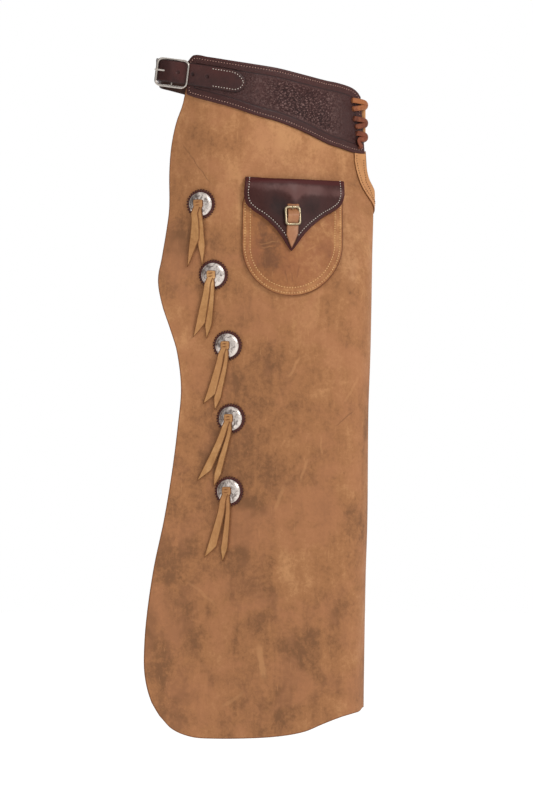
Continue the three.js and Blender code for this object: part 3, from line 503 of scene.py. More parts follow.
def newMaterial(name, colour, **sockets):
    made = bpy.data.materials.new(name)
    made.use_nodes = True
    made.diffuse_color = colour
    shader = made.node_tree.nodes["Principled BSDF"]
    shader.inputs["Base Color"].default_value = colour
    for key, value in sockets.items():
        shader.inputs[key.replace("_", " ")].default_value = value
    return made, made.node_tree, shader.inputs


def bumped(tree, sockets, height, depth, strength=1.0):  # depth in millimetres for a height of 1
    made = put(tree, "ShaderNodeBump", {"Strength": strength, "Distance": depth * metre, "Height": height})
    tree.links.new(made.outputs[0], sockets["Normal"])


def grainLeather(name, light, middle, dark, rose, edge, cloud=9.0, contrast=1.0, scratches=0.5, size=1.6, depth=0.25,
                 wrinkle=0.5, roughness=(0.7, 0.55), edgeWidth=2.0, specular=0.3, scuffsAndCreaseShading=()):
    material, tree, sockets = newMaterial(name, middle, Specular_IOR_Level=specular)
    hide = use(tree, hideMottle, {"Light": light, "Middle": middle, "Dark": dark, "Rose": rose, "Cloud Scale": cloud,
                                  "Contrast": contrast, "Scratches": scratches})
    colour = hide["Colour"]
    grain = use(tree, poreGrain, {"Size": size, "Wrinkle": wrinkle})["Height"]
    # On creases and wrinkles these lines are painted shade (dark) and painted highlight (light)
    for x, down, toX, toDown, wide, lighter in scuffsAndCreaseShading:
        places = {"From X": x * metre, "From Z": -down * metre, "To X": toX * metre, "To Z": -toDown * metre,
                  "Width": wide * metre}
        line = use(tree, scuff, places)["Mask"]
        shown = times(tree, line, abs(lighter))
        colour = blend(tree, shown, colour, light if lighter > 0 else dark)
        if lighter < 0:
            grain = minus(tree, grain, line)
    band = use(tree, edgeBand, {"Width": edgeWidth})["Mask"]
    tree.links.new(blend(tree, band, colour, edge), sockets["Base Color"])
    tree.links.new(spread(tree, hide["Wax"], 0.0, 1.0, *roughness), sockets["Roughness"])
    bumped(tree, sockets, grain, depth)
    return material


def edgeLeather(name, colour, dark):  # cut edges, burnished: darker streaks along the layers
    material, tree, sockets = newMaterial(name, colour, Roughness=0.5, Specular_IOR_Level=0.3)
    streak = noise(tree, objectPlace(tree), 600.0, 3.0)
    tree.links.new(blend(tree, spread(tree, streak, 0.35, 0.65), colour, dark), sockets["Base Color"])
    bumped(tree, sockets, streak, 0.15)
    return material


def suede(name, light, dark):  # the flesh side: short nap that lies in patches
    material, tree, sockets = newMaterial(name, light, Roughness=0.95, Specular_IOR_Level=0.15, Sheen_Weight=0.25)
    place = objectPlace(tree)
    nap = noise(tree, stretched(tree, place, (900.0, 900.0, 380.0), (0, 0.3, 0)), 1.0, 4.0, 0.7)
    lie = noise(tree, place, 24.0, 4.0, 0.6, 0.5)
    colour = blend(tree, spread(tree, lie, 0.35, 0.65), light, dark)
    tree.links.new(blend(tree, spread(tree, nap, 0.35, 0.7, 0.0, 0.4), colour, dark), sockets["Base Color"])
    bumped(tree, sockets, nap, 0.3)
    return material


def pebbledLeather(name):
    # The yoke's leather: grain that the mesh carries in its "grain" mark, small pebbles between, a smoother border,
    # tooled lines along it and a red-brown edge. Painted highlight lightens the raised grain and painted shade darkens
    # its creases.
    panel, border, red = tone(68, 36, 33), tone(66, 32, 28), tone(74, 28, 23)
    material, tree, sockets = newMaterial(name, panel, Specular_IOR_Level=0.32)
    rim = mark(tree, "rim")
    inside = spread(tree, rim, 12.0, 16.0)
    pebbles = use(tree, pebbleGrain, {"Size": 2.2})["Height"]
    pores = use(tree, poreGrain, {"Size": 1.2, "Wrinkle": 0.3})["Height"]
    raised = mark(tree, "grain")
    line = spread(tree, maths(tree, "ABSOLUTE", minus(tree, rim, 12.6)), 0.2, 1.3, 1.0, 0.0)
    cloud = noise(tree, objectPlace(tree), 18.0, 5.0, 0.6, 0.6)
    colour = blend(tree, inside, border, panel)
    # Painted highlight: pale glints on the raised grain; then painted shade darkens the creases of the cells and
    # pebbles
    glint = noise(tree, objectPlace(tree), 330.0, 3.0, 0.6)
    wearAndPaintedLight = times(tree, spread(tree, raised, 0.5, 0.95, 0.0, 1.0), spread(tree, glint, 0.4, 0.62))
    colour = blend(tree, times(tree, wearAndPaintedLight, mark(tree, "deep")), colour, tone(146, 112, 105))
    colour = blend(tree, spread(tree, raised, 0.1, 0.7, 0.95, 0.0), colour, tone(22, 8, 8))
    colour = blend(tree, spread(tree, pebbles, 0.1, 0.7, 0.25, 0.0), colour, tone(44, 20, 18))
    colour = blend(tree, spread(tree, cloud, 0.4, 0.7, 0.0, 0.3), colour, tone(78, 36, 32))
    colour = blend(tree, times(tree, line, 0.75), colour, tone(34, 15, 14))
    colour = blend(tree, use(tree, edgeBand, {"Width": 2.6})["Mask"], colour, red)
    tree.links.new(colour, sockets["Base Color"])
    tree.links.new(spread(tree, raised, 0.3, 1.0, 0.7, 0.42), sockets["Roughness"])
    coarse = times(tree, pebbles, plus(tree, times(tree, inside, 0.6), 0.3))
    bumped(tree, sockets, plus(tree, coarse, times(tree, pores, 0.35)), 0.4)
    return material


def threadMaterial(name, light, dark):
    material, tree, sockets = newMaterial(name, light, Roughness=0.6, Specular_IOR_Level=0.4)
    twist = noise(tree, objectPlace(tree), 700.0, 2.0)
    tree.links.new(blend(tree, spread(tree, twist, 0.35, 0.7), light, dark), sockets["Base Color"])
    bumped(tree, sockets, twist, 0.08)
    return material


def metalMaterial(name, metal, film, patches, depth=0.02, rough=0.2):
    material, tree, sockets = newMaterial(name, metal, Metallic=1.0)
    wearAndPaintedLight = use(tree, tarnish, {"Metal": metal, "Film": film, "Patches": patches, "Satin": rough})
    tree.links.new(wearAndPaintedLight["Colour"], sockets["Base Color"])
    tree.links.new(wearAndPaintedLight["Roughness"], sockets["Roughness"])
    bumped(tree, sockets, wearAndPaintedLight["Height"], depth)
    return material


# Single marks on the leg leather: from (forward, below the waist centre), to (forward, below), width and how much
# lighter or, below 0, darker. The first row is a crease, and its darkening is painted shade.
legScuffs = [
    (-119, 58, -66, 130, 1.2, -0.45), (62, 372, 38, 408, 3.0, 0.5), (148, 400, 120, 446, 2.4, 0.35),
    (38, 560, 20, 602, 4.0, 0.4), (70, 520, 58, 560, 3.0, 0.4), (88, 486, 92, 520, 2.0, 0.4),
    (140, 452, 108, 478, 1.4, -0.5), (-2, 790, 6, 850, 6.0, 0.6), (-60, 890, -20, 862, 4.0, 0.35),
    (-110, 700, -60, 742, 3.0, 0.3),
]

tanHide = grainLeather("tanHide", tone(199, 143, 95), tone(172, 117, 74), tone(132, 89, 57), tone(184, 124, 84),
                       tone(132, 82, 44), edgeWidth=1.3, scuffsAndCreaseShading=legScuffs)
# The same for the pocket: the dark rows along its wrinkles and creases are painted shade, the light rows between
# the wrinkles painted highlight, and the last row is a pale line
pocketCreaseShadingAndScuffs = [
    (-6, 208.5, 30, 209, 1.3, -0.7), (-2, 213, 24, 210.5, 1.3, -0.65), (2, 217.5, 26, 216.5, 1.2, -0.45),
    (-4, 211, 28, 207, 1.3, 0.3), (0, 215.5, 20, 214.5, 1.3, 0.25), (36, 246, 40, 270, 1.5, -0.4),
    (46, 250, 48, 268, 1.3, -0.35), (58, 240, 54, 262, 1.3, -0.3), (64, 222, 84, 212, 1.5, 0.3),
]
pocketHide = grainLeather("pocketHide", tone(204, 148, 94), tone(168, 110, 67), tone(126, 82, 54), tone(164, 102, 70),
                          tone(104, 56, 26), cloud=16.0, size=1.8, depth=0.3, edgeWidth=1.6, contrast=0.8,
                          scuffsAndCreaseShading=pocketCreaseShadingAndScuffs)
paleHide = grainLeather("paleHide", tone(224, 166, 114), tone(207, 148, 96), tone(178, 120, 73), tone(206, 143, 97),
                        tone(128, 80, 42), cloud=30.0, contrast=0.5, edgeWidth=1.3, scratches=0.2)
tieHide = grainLeather("tieHide", tone(216, 165, 110), tone(188, 136, 85), tone(150, 101, 60), tone(188, 132, 85),
                       tone(120, 76, 40), cloud=26.0, contrast=0.8, size=1.2, edgeWidth=1.3, scratches=0.2,
                       roughness=(0.8, 0.68))
strapHide = grainLeather("strapHide", tone(196, 142, 98), tone(174, 116, 76), tone(134, 84, 52), tone(176, 116, 84),
                         tone(106, 60, 32), cloud=50.0, contrast=0.6, size=1.0, edgeWidth=1.2, roughness=(0.5, 0.4),
                         specular=0.5)
# Its light colour also paints the highlight band and ridge on the pocket flap
darkHide = grainLeather("darkHide", tone(104, 70, 66), tone(62, 30, 26), tone(38, 17, 15), tone(66, 27, 24),
                        tone(74, 24, 22), cloud=20.0, contrast=0.4, size=1.1, depth=0.1, wrinkle=0.8, edgeWidth=2.2,
                        roughness=(0.55, 0.45), specular=0.2, scratches=0.1)
# Its near-black edge colour also paints the shade in the strap's holes
billetHide = grainLeather("billetHide", tone(80, 44, 39), tone(62, 32, 29), tone(40, 19, 18), tone(82, 38, 33),
                          tone(30, 11, 10), cloud=26.0, contrast=0.8, size=1.0, depth=0.1, wrinkle=0.7, edgeWidth=1.1,
                          roughness=(0.5, 0.4), specular=0.34, scratches=0.15)
laceHide = grainLeather("laceHide", tone(176, 108, 62), tone(128, 70, 46), tone(84, 42, 30), tone(136, 70, 48),
                        tone(92, 46, 30), cloud=60.0, contrast=0.8, size=0.9, depth=0.12, edgeWidth=0.1)
rosetteHide = grainLeather("rosetteHide", tone(98, 48, 40), tone(74, 32, 27), tone(46, 20, 17), tone(84, 34, 28),
                           tone(60, 24, 19), cloud=60.0, contrast=0.6, size=0.8, depth=0.1, edgeWidth=0.8,
                           roughness=(0.5, 0.4))
yokeHide = pebbledLeather("yokeHide")
tanEdge = edgeLeather("tanEdge", tone(150, 96, 54), tone(104, 62, 32))
darkEdge = edgeLeather("darkEdge", tone(62, 28, 23), tone(38, 17, 14))
tanSuede = suede("tanSuede", tone(196, 154, 114), tone(164, 120, 82))
darkSuede = suede("darkSuede", tone(78, 52, 43), tone(54, 34, 28))
whiteThread = threadMaterial("whiteThread", tone(236, 226, 214), tone(196, 180, 166))
tanThread = threadMaterial("tanThread", tone(246, 206, 146), tone(216, 166, 104))
yokeThread = threadMaterial("yokeThread", tone(212, 168, 152), tone(160, 112, 98))
bindingThread = threadMaterial("bindingThread", tone(128, 80, 46), tone(92, 58, 34))
silverMetal = metalMaterial("silverMetal", tone(240, 228, 219), tone(96, 82, 78), 0.75, rough=0.22)
steelMetal = metalMaterial("steelMetal", tone(194, 185, 176), tone(112, 100, 92), 0.2, 0.005)
brassMetal = metalMaterial("brassMetal", tone(168, 152, 124), tone(74, 62, 46), 0.6)
tanWall, pocketWall, paleWall, tieWall, strapWall = ([hide, tanSuede, tanEdge] for hide in (
    tanHide, pocketHide, paleHide, tieHide, strapHide))
yokeWall, flapWall, beltWall = ([hide, darkSuede, darkEdge] for hide in (yokeHide, darkHide, billetHide))
print("materials are made")


# Waist loop, seen from above: straight front, curved side, buckle stretch and a tight corner to the straight back
waist = dict(front=154.8, centreGap=8, frontAngle=math.radians(36), frontStraight=89, sideRadius=200, rearRadius=150,
             buckleAngle=math.radians(28), buckleStraight=42.2, cornerRadius=14)


def makeLoop():
    w = waist
    lengths = [w["frontStraight"], w["sideRadius"] * w["frontAngle"], w["rearRadius"] * w["buckleAngle"],
               w["buckleStraight"], w["cornerRadius"] * (quarterTurn - w["buckleAngle"])]
    bends = np.array([0, -1 / w["sideRadius"], -1 / w["rearRadius"], 0, -1 / w["cornerRadius"], 0])
    breaks = np.cumsum(lengths)
    step = 0.25
    run = np.arange(-80, breaks[-1] + 120, step)
    bend = np.where(run < 0, 0, bends[np.searchsorted(breaks, run)])
    heading = w["frontAngle"] + np.concatenate([[0], np.cumsum((bend[1:] + bend[:-1]) / 2 * step)])
    middle = (heading[1:] + heading[:-1]) / 2
    x = np.concatenate([[0], -np.cumsum(np.cos(middle) * step)])
    y = np.concatenate([[0], -np.cumsum(np.sin(middle) * step)])
    start = np.searchsorted(run, 0)
    x, y = x - x[start] + w["front"], y - y[start] - w["centreGap"]
    half = np.interp(0, y[run > breaks[3]], run[run > breaks[3]])
    return dict(run=run, x=x, y=y, heading=heading, half=half, corner=breaks[-1], buckle=breaks[2] + 24)


loop = makeLoop()


def onWaist(s, z, offset):  # a point of the loop at run s, height z and offset outwards; past the back it is mirrored
    far = s > loop["half"]
    near = np.where(far, 2 * loop["half"] - s, s)
    x, y, heading = (np.interp(near, loop["run"], loop[key]) for key in ("x", "y", "heading"))
    aside = y - offset * np.cos(heading)
    return stack(x + offset * np.sin(heading), np.where(far, -aside, aside), z)


def waistNormal(s):
    far = s > loop["half"]
    heading = np.interp(np.where(far, 2 * loop["half"] - s, s), loop["run"], loop["heading"])
    return stack(np.sin(heading), np.where(far, 1, -1) * np.cos(heading), 0 * heading)


def loopAt(x, offset, key):  # the loop's run or y where the offset loop reaches x
    keep = loop["run"] <= loop["corner"]
    heading = loop["heading"][keep]
    across = (loop["x"][keep] + offset * np.sin(heading))[::-1]
    values = loop["run"][keep] if key == "run" else loop["y"][keep] - offset * np.cos(heading)
    return np.interp(x, across, values[::-1])


# Yoke outline

yoke = dict(back=107.5, top=65.7, dip=77, thick=3.2, lean=6, columns=262, rows=98)
yokeTopAt = through((0, 0.845), (0.039, 1), (0.123, 0.956), (0.257, 0.87), (0.391, 0.791), (0.525, 0.71),
                    (0.659, 0.592), (0.8, 0.471), (0.874, 0.422), (0.948, 0.335), (0.982, 0.242), (1, 0.143))
yokeBottomAt = through((0, 0.129), (0.039, 0.076), (0.123, -0.005), (0.257, -0.133), (0.391, -0.281), (0.525, -0.409),
                       (0.659, -0.582), (0.793, -0.789), (0.86, -0.861), (0.927, -0.93), (0.961, -0.949), (1, -0.952))


def loopX(s):
    return np.interp(s, loop["run"], loop["x"])


def yokeShare(x):
    return (x + yoke["back"]) / (waist["front"] + yoke["back"])


def yokeBottom(x):
    return yoke["dip"] * yokeBottomAt(yokeShare(x))


# Leg: a turn of -1 is the batwing edge, 0 the line of the ties, 1 the front fold and 2 the inner rear edge

leg = dict(drop=931, frontReach=167.4, wingReach=169, thick=2.2, noseDepth=38, noseHalf=50, middle=62, splay=8,
           tieOut=87, wingFlare=22, lap=14, lapGap=0.7, hemOpening=24, gap=3, release=290, tuck=8, tuckFront=2.2,
           noseTurn=0.8, hemRear=0.864, hemFront=0.897, yokeGap=0.6, rows=112)
wingShare = through((-0.02, 0.64), (0.006, 0.67), (0.034, 0.726), (0.072, 0.769), (0.113, 0.786), (0.169, 0.786),
                    (0.207, 0.812), (0.245, 0.847), (0.282, 0.881), (0.32, 0.847), (0.358, 0.778), (0.395, 0.717),
                    (0.452, 0.682), (0.508, 0.708), (0.583, 0.76), (0.659, 0.829), (0.734, 0.916), (0.809, 0.976),
                    (0.862, 0.998), (0.903, 0.993), (0.941, 0.942), (0.966, 0.864))
foldShare = through((0, 1), (0.17, 0.998), (0.245, 0.985), (0.395, 0.968), (0.488, 0.95), (0.659, 0.941),
                    (0.752, 0.925), (0.903, 0.911), (1, 0.905))
tieShare = through((-0.05, 0.6), (0.163, 0.508), (0.274, 0.401), (0.385, 0.279), (0.4995, 0.2485), (0.614, 0.2645),
                   (0.75, 0.29), (1, 0.34))
hemShare = through((0, 0.966), (0.059, 0.9865), (0.148, 0.999), (0.247, 1.002), (0.445, 1.0005), (0.594, 0.9965),
                   (0.7125, 0.989), (0.802, 0.977), (0.891, 0.966), (0.955, 0.9605),
                   (0.985, 0.958), (1, 0.953))
crotchShare = through((0.9, 0.088), (0.906, 0.103), (0.923, 0.119), (0.955, 0.13), (1, 0.14), (1.07, 0.156),
                      (1.2, 0.176), (1.45, 0.19), (1.75, 0.176), (2, 0.147))
bindingShare = through((0.831, 0.092), (0.842, 0.109), (0.866, 0.13), (0.9, 0.145), (0.954, 0.16), (1, 0.1695),
                       (1.07, 0.18), (1.2, 0.197), (1.45, 0.209), (1.75, 0.194), (2, 0.165))

# Soft swells of the outer wall: forward, below the waist centre, reach across, reach down, height
swells = [
    (-70, 120, 60, 110, 1.6), (40, 420, 70, 150, 1.4), (-110, 620, 45, 150, -2.0), (-40, 700, 60, 120, 1.8),
    (70, 760, 55, 140, -1.2), (-90, 850, 50, 60, 1.6), (10, 880, 60, 60, -1.4), (-130, 330, 30, 70, 1.4),
]


def wingX(z):
    return -leg["wingReach"] * wingShare(-z / leg["drop"])


def foldX(z):
    return leg["frontReach"] * foldShare(-z / leg["drop"])


def tieX(z):
    return -leg["wingReach"] * tieShare(-z / leg["drop"])


def legMiddleY(z):
    return -leg["middle"] - leg["splay"] * -z / leg["drop"]


def release(z):  # 0 where the leg follows the yoke, 1 at the thigh
    return ease(-z, yoke["dip"], leg["release"])


underYoke = -yoke["thick"] - leg["yokeGap"]


def waistY(x):
    return loopAt(x, underYoke, "y")


def swell(x, z):  # the sum of the soft bells, let in below the yoke
    height = 0 * x
    for at, down, wide, tall, high in swells:
        height = height + high * hump(x, at, wide) * hump(-z, down, tall)
    return height * ease(-z, 90, 260)


def outerY(x, z):
    # The outer wall behind the front fold: a quarter wave from the ties out to the tube's side, and behind the ties
    # a wing that drifts inwards and flares at the hem.
    back = tieX(z)
    nose = foldX(z) - leg["noseDepth"]
    side = legMiddleY(z) - leg["noseHalf"]
    rise = (leg["tieOut"] + side) * quarterTurn / (nose - back)
    tubeY = mix(-leg["tieOut"], side, np.sin((x - back) / (nose - back) * quarterTurn))
    share = (back - x) / (back - wingX(z))
    flare = leg["wingFlare"] * share**2 * ease(-z, 0.55 * leg["drop"], leg["drop"])
    wing = -leg["tieOut"] - rise * (back - x) * (1 - share / 2) - flare
    return mix(waistY(x), np.where(x < back, wing, tubeY), release(z)) - swell(x, z)


def legPoint(turn, z):
    # One wall of the leg by turn and height: the outer wall back to front, a quarter ellipse round each side of the
    # fold, then back inside. Above the thigh it blends into the waist loop's line.
    nose = foldX(z) - leg["noseDepth"]
    back, free = tieX(z), release(z)
    outX = np.where(turn < 0, mix(back, wingX(z), -turn), mix(back, nose, turn / leg["noseTurn"]))
    outX = np.minimum(outX, nose)
    angle = (turn - 1) / (1 - leg["noseTurn"]) * quarterTurn
    foldPlace = nose + leg["noseDepth"] * np.cos(angle)
    flat = np.where(angle < 0, np.minimum(waistY(foldPlace), -leg["gap"]), -leg["gap"])
    foldY = mix(flat, legMiddleY(z) + leg["noseHalf"] * np.sin(angle), free)
    share = (2 - turn) / leg["noseTurn"]
    inX = mix(back - leg["lap"], nose, share)
    opened = leg["hemOpening"] * ease(-z, 0.64 * leg["drop"], leg["drop"])
    lapY = outerY(inX, z) + 2.4 * leg["thick"] + leg["lapGap"] + opened
    inY = mix(lapY, mix(-leg["gap"], legMiddleY(z) + leg["noseHalf"], free), ease(share, 0, 1))
    where = [turn < leg["noseTurn"], turn <= 2 - leg["noseTurn"]]
    return stack(np.select(where, [outX, foldPlace], inX), np.select(where, [outerY(outX, z), foldY], inY), z)


def legNormal(turn, z):
    step = 0.002
    along = legPoint(turn + step, z) - legPoint(turn - step, z)
    up = legPoint(turn, z + 1) - legPoint(turn, z - 1)
    return unit(np.cross(along, up))


def legOffset(turn, z, offset):
    return legPoint(turn, z) + legNormal(turn, z) * np.expand_dims(offset, -1)


def turnAt(x, z):  # the turn at which the outer wall reaches x
    nose, back = foldX(z) - leg["noseDepth"], tieX(z)
    wing = -(back - x) / (back - wingX(z))
    flank = leg["noseTurn"] * (x - back) / (nose - back)
    angle = np.arccos(np.clip((x - nose) / leg["noseDepth"], 0, 1))
    return np.select([x < back, x <= nose], [wing, flank], 1 - (1 - leg["noseTurn"]) * angle / quarterTurn)


def onLeg(x, z, offset):
    x, z, offset = np.broadcast_arrays(np.array(x, float), np.array(z, float), np.array(offset, float))
    return legOffset(turnAt(x, z), z, offset)


def hemZ(turn):  # the hem's height follows the place forward, which itself changes with height, so it is iterated
    rear, front = -leg["wingReach"] * leg["hemRear"], leg["frontReach"] * leg["hemFront"]
    z = np.full(turn.shape, -float(leg["drop"]))
    for _ in range(8):
        z = -leg["drop"] * hemShare((legPoint(turn, z)[..., 0] - rear) / (front - rear))
    return z


def topZ(turn):  # tucked behind the yoke's lower edge; inside the front fold the cut-out's own line
    z = np.zeros(turn.shape)
    for _ in range(8):
        x = legPoint(turn, z)[..., 0]
        z = yokeBottom(x) + mix(leg["tuck"], leg["tuckFront"], ease(yokeShare(x), 0.6, 0.92))
    return np.where(turn > 0.9, -leg["drop"] * crotchShare(turn), z)


# Darker and lighter patches on the leg: forward, below, reach across, reach down, and how much darker
legPatches = [
    (-75, 60, 45, 60, 0.25), (-95, 180, 40, 45, 0.3), (-60, 260, 50, 90, 0.3), (60, 60, 80, 50, -0.55),
    (-20, 130, 50, 60, -0.3), (120, 330, 40, 60, -0.1), (-70, 640, 80, 60, 0.35), (70, 800, 70, 90, -0.2),
    (70, 690, 50, 50, -0.35), (-130, 780, 40, 90, 0.25), (-105, 800, 95, 130, 0.45), (-20, 480, 60, 60, 0.3),
    (90, 480, 50, 50, 0.2),
]


def legDarknessAt(x, z):  # darker downwards, plus the bells of the patches; dark ones level off
    value = 0.3 * ease(-z, 150, 620) - 0.1
    for at, down, wide, tall, dark in legPatches:
        value = value + 0.8 * dark * hump(x, at, wide) * hump(-z, down, tall)
    return np.where(value > 0, 0.42 * np.tanh(value / 0.42), value)


# Columns of the leg wall: from turn, to turn, count
legSpans = [(-1, -0.96, 2), (-0.96, 0, 52), (0, 0.8, 62), (0.8, 0.9, 14), (0.9, 1.1, 26), (1.1, 1.2, 12),
            (1.2, 1.96, 40)]
legTurns = np.concatenate([np.linspace(*span, endpoint=False) for span in legSpans] + [[1.96, 2]])


def makeLeg(name, side):
    top, bottom = topZ(legTurns), hemZ(legTurns)
    share = spaced(leg["rows"], leg["drop"])[:, None]
    z = mix(top, bottom, share)
    turn = np.broadcast_to(legTurns, z.shape)
    x = legPoint(turn, z)[..., 0]
    rim = np.minimum(np.minimum(top - z, z - bottom), np.where(turn < 0, x - wingX(z), 60))
    marks = {"rim": rim, "stain": legDarknessAt(x, z)}
    panel = wall(name + "LegPanel", legOffset(turn, z, 0 * z), legOffset(turn, z, 0 * z - leg["thick"]), tanWall,
                 marks, side)
    dress(panel, "tan_leather", name + "_leg_panel")


# The binding lies on the leg along the cut-out, with a row of stitches near each edge.
binding = dict(seat=0.4, thick=1.6, inset=0.6, clear=0.3, columns=150, rows=14, level=-130, lower=3.6, upper=6.0,
               pitch=3.7)


def bindingPlace(turn, v):
    high = np.minimum(topZ(turn) - binding["inset"], yokeBottom(legPoint(turn, topZ(turn))[..., 0]) - binding["clear"])
    return mix(high, -leg["drop"] * bindingShare(turn), v)


def makeBinding(name, side):
    turns = np.linspace(0.831, 2, int(binding["columns"] * fineness))
    v = spaced(binding["rows"], 18, (0.5, 1.2))[:, None]
    z = bindingPlace(turns, v)
    turn = np.broadcast_to(turns, z.shape)
    crown = 0.3 * (1 - (2 * v - 1) ** 4) * np.ones_like(z)
    rim = np.minimum(v, 1 - v) * np.ptp(z, axis=0)
    strip = wall(name + "CrotchBinding", legOffset(turn, z, binding["seat"] + binding["thick"] + crown),
                 legOffset(turn, z, 0 * z + binding["seat"]), paleWall,
                 {"rim": rim, "stain": 0 * z}, side)
    dress(strip, "pale_leather", name + "_crotch_binding")
    sweep = np.linspace(0.8, 2, 500)
    ring = legPoint(sweep, 0 * sweep + binding["level"])
    run = np.concatenate([[0], np.cumsum(np.linalg.norm(np.diff(ring, axis=0), axis=1))])
    dense = np.linspace(0.831, 1.995, 500)
    edges = [np.stack([np.interp(dense, sweep, run), bindingPlace(dense, v)], -1) for v in (0.0, 1.0)]
    rows = []
    for edge, other, inset, first in ((edges[0], edges[1], binding["upper"], 0.903),
                                      (edges[1], edges[0], binding["lower"], 0.8)):
        along = unit(np.gradient(edge, axis=0))
        inward = np.stack([-along[:, 1], along[:, 0]], -1)
        inward = inward * np.sign(np.sum(inward * (other - edge), axis=1, keepdims=True))
        near = min(inset, binding["lower"])
        line = (edge + inward * inset)[dense > first]
        line = line[closest(line, np.concatenate(edges)) > 0.9 * near]
        line = np.concatenate([line[:1] + [0, 9], line])
        turn, z = np.interp(line[:, 0], run, sweep), line[:, 1]
        line = legOffset(turn, z, 0 * z + binding["seat"] + binding["thick"] + 0.2)
        shown = z < yokeBottom(line[:, 0]) - 1.5
        rows.append((line[shown], legNormal(turn, z)[shown], binding["pitch"]))
    dress(stitches(name + "BindingStitches", rows, bindingThread, side, length=1.8, width=1.3), "pale_leather")


# Yoke: the panel sinks a little inside its tooled border
laceHoles = [dict(back=0.3, high=0.05), dict(back=0.28, high=-0.11), dict(back=0.26, high=-0.3),
             dict(back=0.21, high=-0.45), dict(back=0.19, high=-0.58), dict(back=0.17, high=-0.71),
             dict(back=0.12, high=-0.84)]
yokeStitch = dict(inset=4.4, pitch=4.2)
# Grain of the yoke: cell sizes, where the panel begins inside its groove, and the shares of the yoke's run over which
# it comes up from the rear and dies away to the front
yokeGrain = dict(large=4.6, small=2.7, groove=12.6, panel=(13, 19), rear=(0.3, 0.6), front=(0.76, 0.9), depth=0.8)


def yokePlace(u, v):  # run round the loop and height: from its lower line to its upper line, straight between
    z = mix(yoke["dip"] * yokeBottomAt(u), yoke["top"] * yokeTopAt(u), v)
    x = mix(-yoke["back"], waist["front"] - yoke["lean"] * v, u)
    return loopAt(x, 0, "run"), z


def yokeOutline():
    u = np.linspace(0, 1, 400)
    end = np.linspace(0, 1, 120)[1:-1]
    parts = [yokePlace(u, 0 * u), yokePlace(0 * end + 1, end), yokePlace(u[::-1], 0 * u + 1),
             yokePlace(0 * end, end[::-1])]
    return np.concatenate([np.stack(part, -1) for part in parts])


def makeYoke(name, side):
    outline = yokeOutline()
    u, v = np.meshgrid(spaced(yoke["columns"], 265, (0.8, 2.0)), spaced(yoke["rows"], 105, (0.8, 2.0)))
    s, z = yokePlace(u, v)
    rim = closest(np.stack([s, z], -1), outline)
    g = yokeGrain
    relief = -0.5 * ease(rim, g["groove"] - 1, g["groove"] + 1) - 0.6 * hump(rim, g["groove"], 0.9)
    relief = relief - 0.3 * hump(rim, yokeStitch["inset"], 0.9) - 0.6 * (1 - ease(rim, 0, 1.8))
    bentS = s + 2.2 * np.sin(z / 5 + s / 23) + 0.8 * np.sin(z / 2.1 - s / 3.3)
    bentZ = z + 1.8 * np.sin(s / 7 - z / 13) + 0.8 * np.sin(s / 2.3 + z / 4.1)
    large = ease(cellEdges(bentS * 0.75, bentZ * 1.15, g["large"], 3), 0.0, 0.34)
    small = ease(cellEdges(bentS + 90, bentZ * 0.8, g["small"], 4), 0.0, 0.55)
    patchy = 0.5 + 0.5 * np.sin(s / 9 + 2 * np.sin(z / 11)) * np.sin(z / 8 - s / 14)
    ahead = yokeShare(loopX(s))
    deep = ease(rim, *g["panel"]) * (0.14 + 0.86 * ease(ahead, *g["rear"])) * (1 - 0.95 * ease(ahead, *g["front"]))
    creased = mix(mix(small, 0.7 * small + 0.3, patchy), large, 0.35 + 0.3 * patchy)
    grain = 1 - (1 - creased) * (0.05 + 0.95 * deep)
    relief = relief - g["depth"] * (1 - grain)
    plate = wall(name + "YokeLeather", onWaist(s, z, relief), onWaist(s, z, 0 * s - yoke["thick"]),
                 yokeWall, {"rim": rim, "grain": grain, "deep": deep}, side)
    dress(plate, "dark_leather", name + "_yoke")
    line = insetLine(outline, yokeStitch["inset"])
    surface = onWaist(line[:, 0], line[:, 1], -0.25)
    sewn = stitches(name + "YokeStitches", [(surface, waistNormal(line[:, 0]), yokeStitch["pitch"])], yokeThread, side,
                    length=1.6, width=1.15)
    dress(sewn, "dark_leather")


# Thigh pocket
pocket = dict(x=47.2, top=118, half=72.8, straight=94, round=74, seat=1.7, thick=1.8, crown=3.5, tipHalf=2.0,
              rows=90, columns=84, stitchInsets=(3.8, 11.6), pitch=4.0, wrinklesDown=(209, 214.5, 220),
              creasesAhead=(-14, -6, 2, 9))
flap = dict(top=115.8, half=70.6, drop=105.8, thick=2.2, lean=0.047, topAhead=1.8, tipBack=-1.6, roll=6, rows=86,
            columns=76, stitchInset=5.4, pitch=4.1)
flap["base"] = pocket["seat"] + pocket["thick"] + 1.5
flapHalfAt = through((0, 0.99), (0.12, 1), (0.23, 1.005), (0.36, 0.95), (0.45, 0.81), (0.54, 0.6), (0.67, 0.38),
                     (0.8, 0.215), (0.925, 0.095), (1, 0.012))
smallStrap = dict(wide=16, thick=1.5, top=151.5, tip=218, clear=0.3, back=1.3)
smallBuckle = dict(down=171.8, back=2.1, wide=24.4, tall=29.4, wire=2.4, band=3.7, corner=4)


def pocketLift(x, z):  # a pillow: one parabola across times one down
    across = np.minimum(np.abs(x - pocket["x"]) / pocket["half"], 1)
    half = (pocket["straight"] + pocket["round"]) / 2
    along = np.minimum(np.abs(z + pocket["top"] + half) / half, 1)
    return pocket["crown"] * (1 - across**2) * (1 - along**2)


def pouchPlace(u, row, inset=0.0):  # row 0 to 1 down the straight sides, 1 to 2 round the bottom
    angle = np.clip(row - 1, 0, 1) * quarterTurn
    half, radius = pocket["half"] - inset - 3.6 * ease(row, 0.36, 0.2), pocket["round"] - inset
    z = -pocket["top"] - np.clip(row, 0, 1) * pocket["straight"] - radius * np.sin(angle)
    return pocket["x"] + (2 * u - 1) * np.maximum(half * np.cos(angle), pocket["tipHalf"]), z


